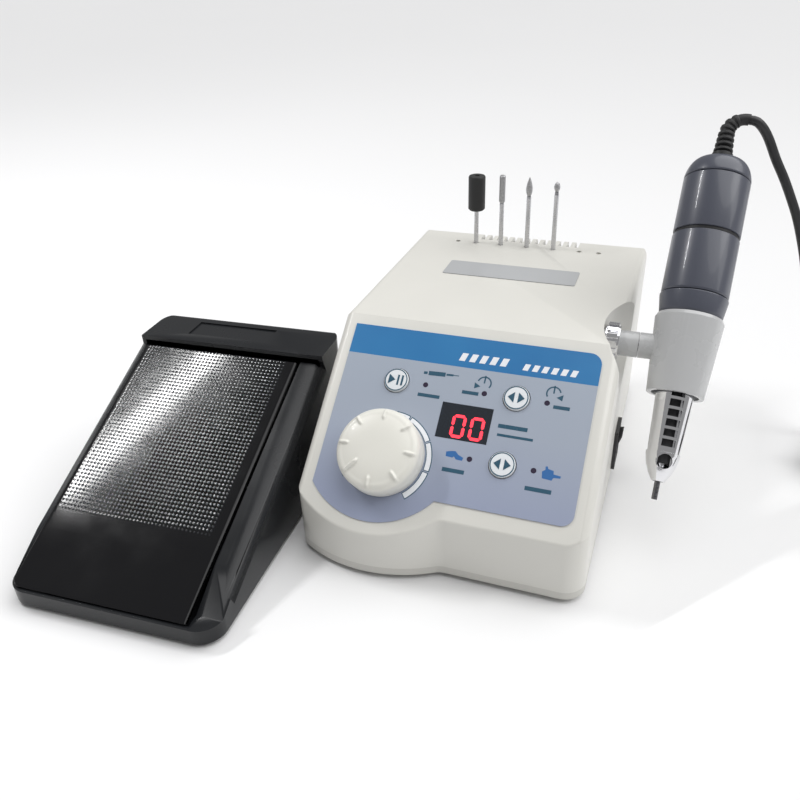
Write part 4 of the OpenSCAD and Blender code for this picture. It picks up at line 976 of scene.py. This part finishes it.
def make_springs():
    """The two springs under the treadle: steel helices with flat end turns."""
    turns, floor_z, top_z, coil_r, wire_r = 8, 5.0, 43.4, 5.3, 0.6
    spring_y = 92
    share = np.linspace(0, 1, turns * 24 + 1)
    rise = np.clip((share * turns - 0.9) / (turns - 1.8), 0, 1)
    height = floor_z + wire_r + (top_z - floor_z - 2 * wire_r) * rise + 0.02 * share
    angle = 2 * math.pi * turns * share
    for number, x in enumerate((24, 60)):
        line = on_pedal((x + coil_r * np.cos(angle)) * MM, (spring_y + coil_r * np.sin(angle)) * MM,
                        height * MM)
        piece = swept(f"treadle_spring_{number + 1}", line, wire_r * MM, "pedal", steel,
                      ["treadle_springs"], steps=10)
        foot = tuple(on_pedal(x * MM, spring_y * MM, floor_z * MM))
        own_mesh(piece)


make_treadle()
make_springs()
eased("pedal_base", 0.8 * MM, pedal_black, angle=35)
eased("pedal_feet", 0.4 * MM, foot_rubber)
eased("pedal_gland", 0.3 * MM, black_rubber)

# ------------------------------------------------------------------ floor and light


def area_lamp(name, place, target, size, power):
    """A soft rectangular lamp at place that faces target."""
    light = bpy.data.lights.new(name, "AREA")
    light.shape = "RECTANGLE"
    light.size, light.size_y = size
    light.energy = power
    lamp = bpy.data.objects.new(name, light)
    back = Vector(np.array(place, float) - np.array(target, float))
    lamp.location = place
    lamp.rotation_euler = back.to_track_quat("Z", "Y").to_euler()
    bpy.context.scene.collection.objects.link(lamp)
    return lamp


def make_strip_lamp():
    """A long narrow lamp that the treadle mirrors as a slanting streak.

    Its ends lie 0.9 m along the lines of sight to two points of the plate, each mirrored in the plate.
    """
    eye = np.array(bpy.context.scene.camera.matrix_world.translation)
    low, high, side = on_pedal([2, 42, 60] * np.array(MM), [40, 124, 40] * np.array(MM),
                               [26.4, 62.1, 26.4] * np.array(MM))
    across = np.cross(side - low, high - low)
    across /= np.linalg.norm(across)
    ends = []
    for point in (low, high):
        sight = (point - eye) / np.linalg.norm(point - eye)
        ends.append(point + 0.9 * (sight - 2 * (sight @ across) * across))
    length = np.linalg.norm(ends[1] - ends[0])
    middle = (ends[0] + ends[1]) / 2
    strip = area_lamp("strip", middle, (low + high) / 2, (length, 0.022), 2.6)
    along = Vector((ends[1] - ends[0]) / length)
    back = Vector(middle - (low + high) / 2).normalized()
    along = (along - along.dot(back) * back).normalized()
    strip.rotation_euler = Matrix((along, back.cross(along), back)).transposed().to_euler()


def make_stage():
    """A pale floor, one soft light from above and to the right, and lamps for the gloss."""
    x = y = np.linspace(-14, 14, 30)
    points = np.stack(np.broadcast_arrays(x[None, :], y[:, None], 0 * y[:, None]), -1)
    mesh = bpy.data.meshes.new("floor")
    mesh.from_pydata(points.reshape(-1, 3).tolist(), [], quads(len(y), len(x)))
    mesh.shade_smooth()
    made = Finish("floor", (0.85, 0.85, 0.855), 0.8)
    made.roughen(made.noise(3, 2), 0.75, 0.85)
    mesh.materials.append(made.material)
    floor = bpy.data.objects.new("floor", mesh)
    bpy.context.scene.collection.objects.link(floor)

    world = bpy.data.worlds.new("studio")
    world.use_nodes = True
    world.node_tree.nodes["Background"].inputs[0].default_value = (1, 1, 1, 1)
    world.node_tree.nodes["Background"].inputs[1].default_value = 0.30
    bpy.context.scene.world = world
    bpy.context.scene.view_settings.view_transform = "Standard"

    sun = bpy.data.lights.new("overhead", "SUN")
    sun.energy = 2.35
    sun.angle = math.radians(75)
    overhead = bpy.data.objects.new("overhead", sun)
    overhead.rotation_euler = Vector((0.45, 0.25, 1.0)).to_track_quat("Z", "Y").to_euler()
    bpy.context.scene.collection.objects.link(overhead)

    area_lamp("side", (0.9, 0.1, 0.6), (0.1, 0, 0.06), (0.3, 0.5), 1.0)
    make_strip_lamp()


make_stage()
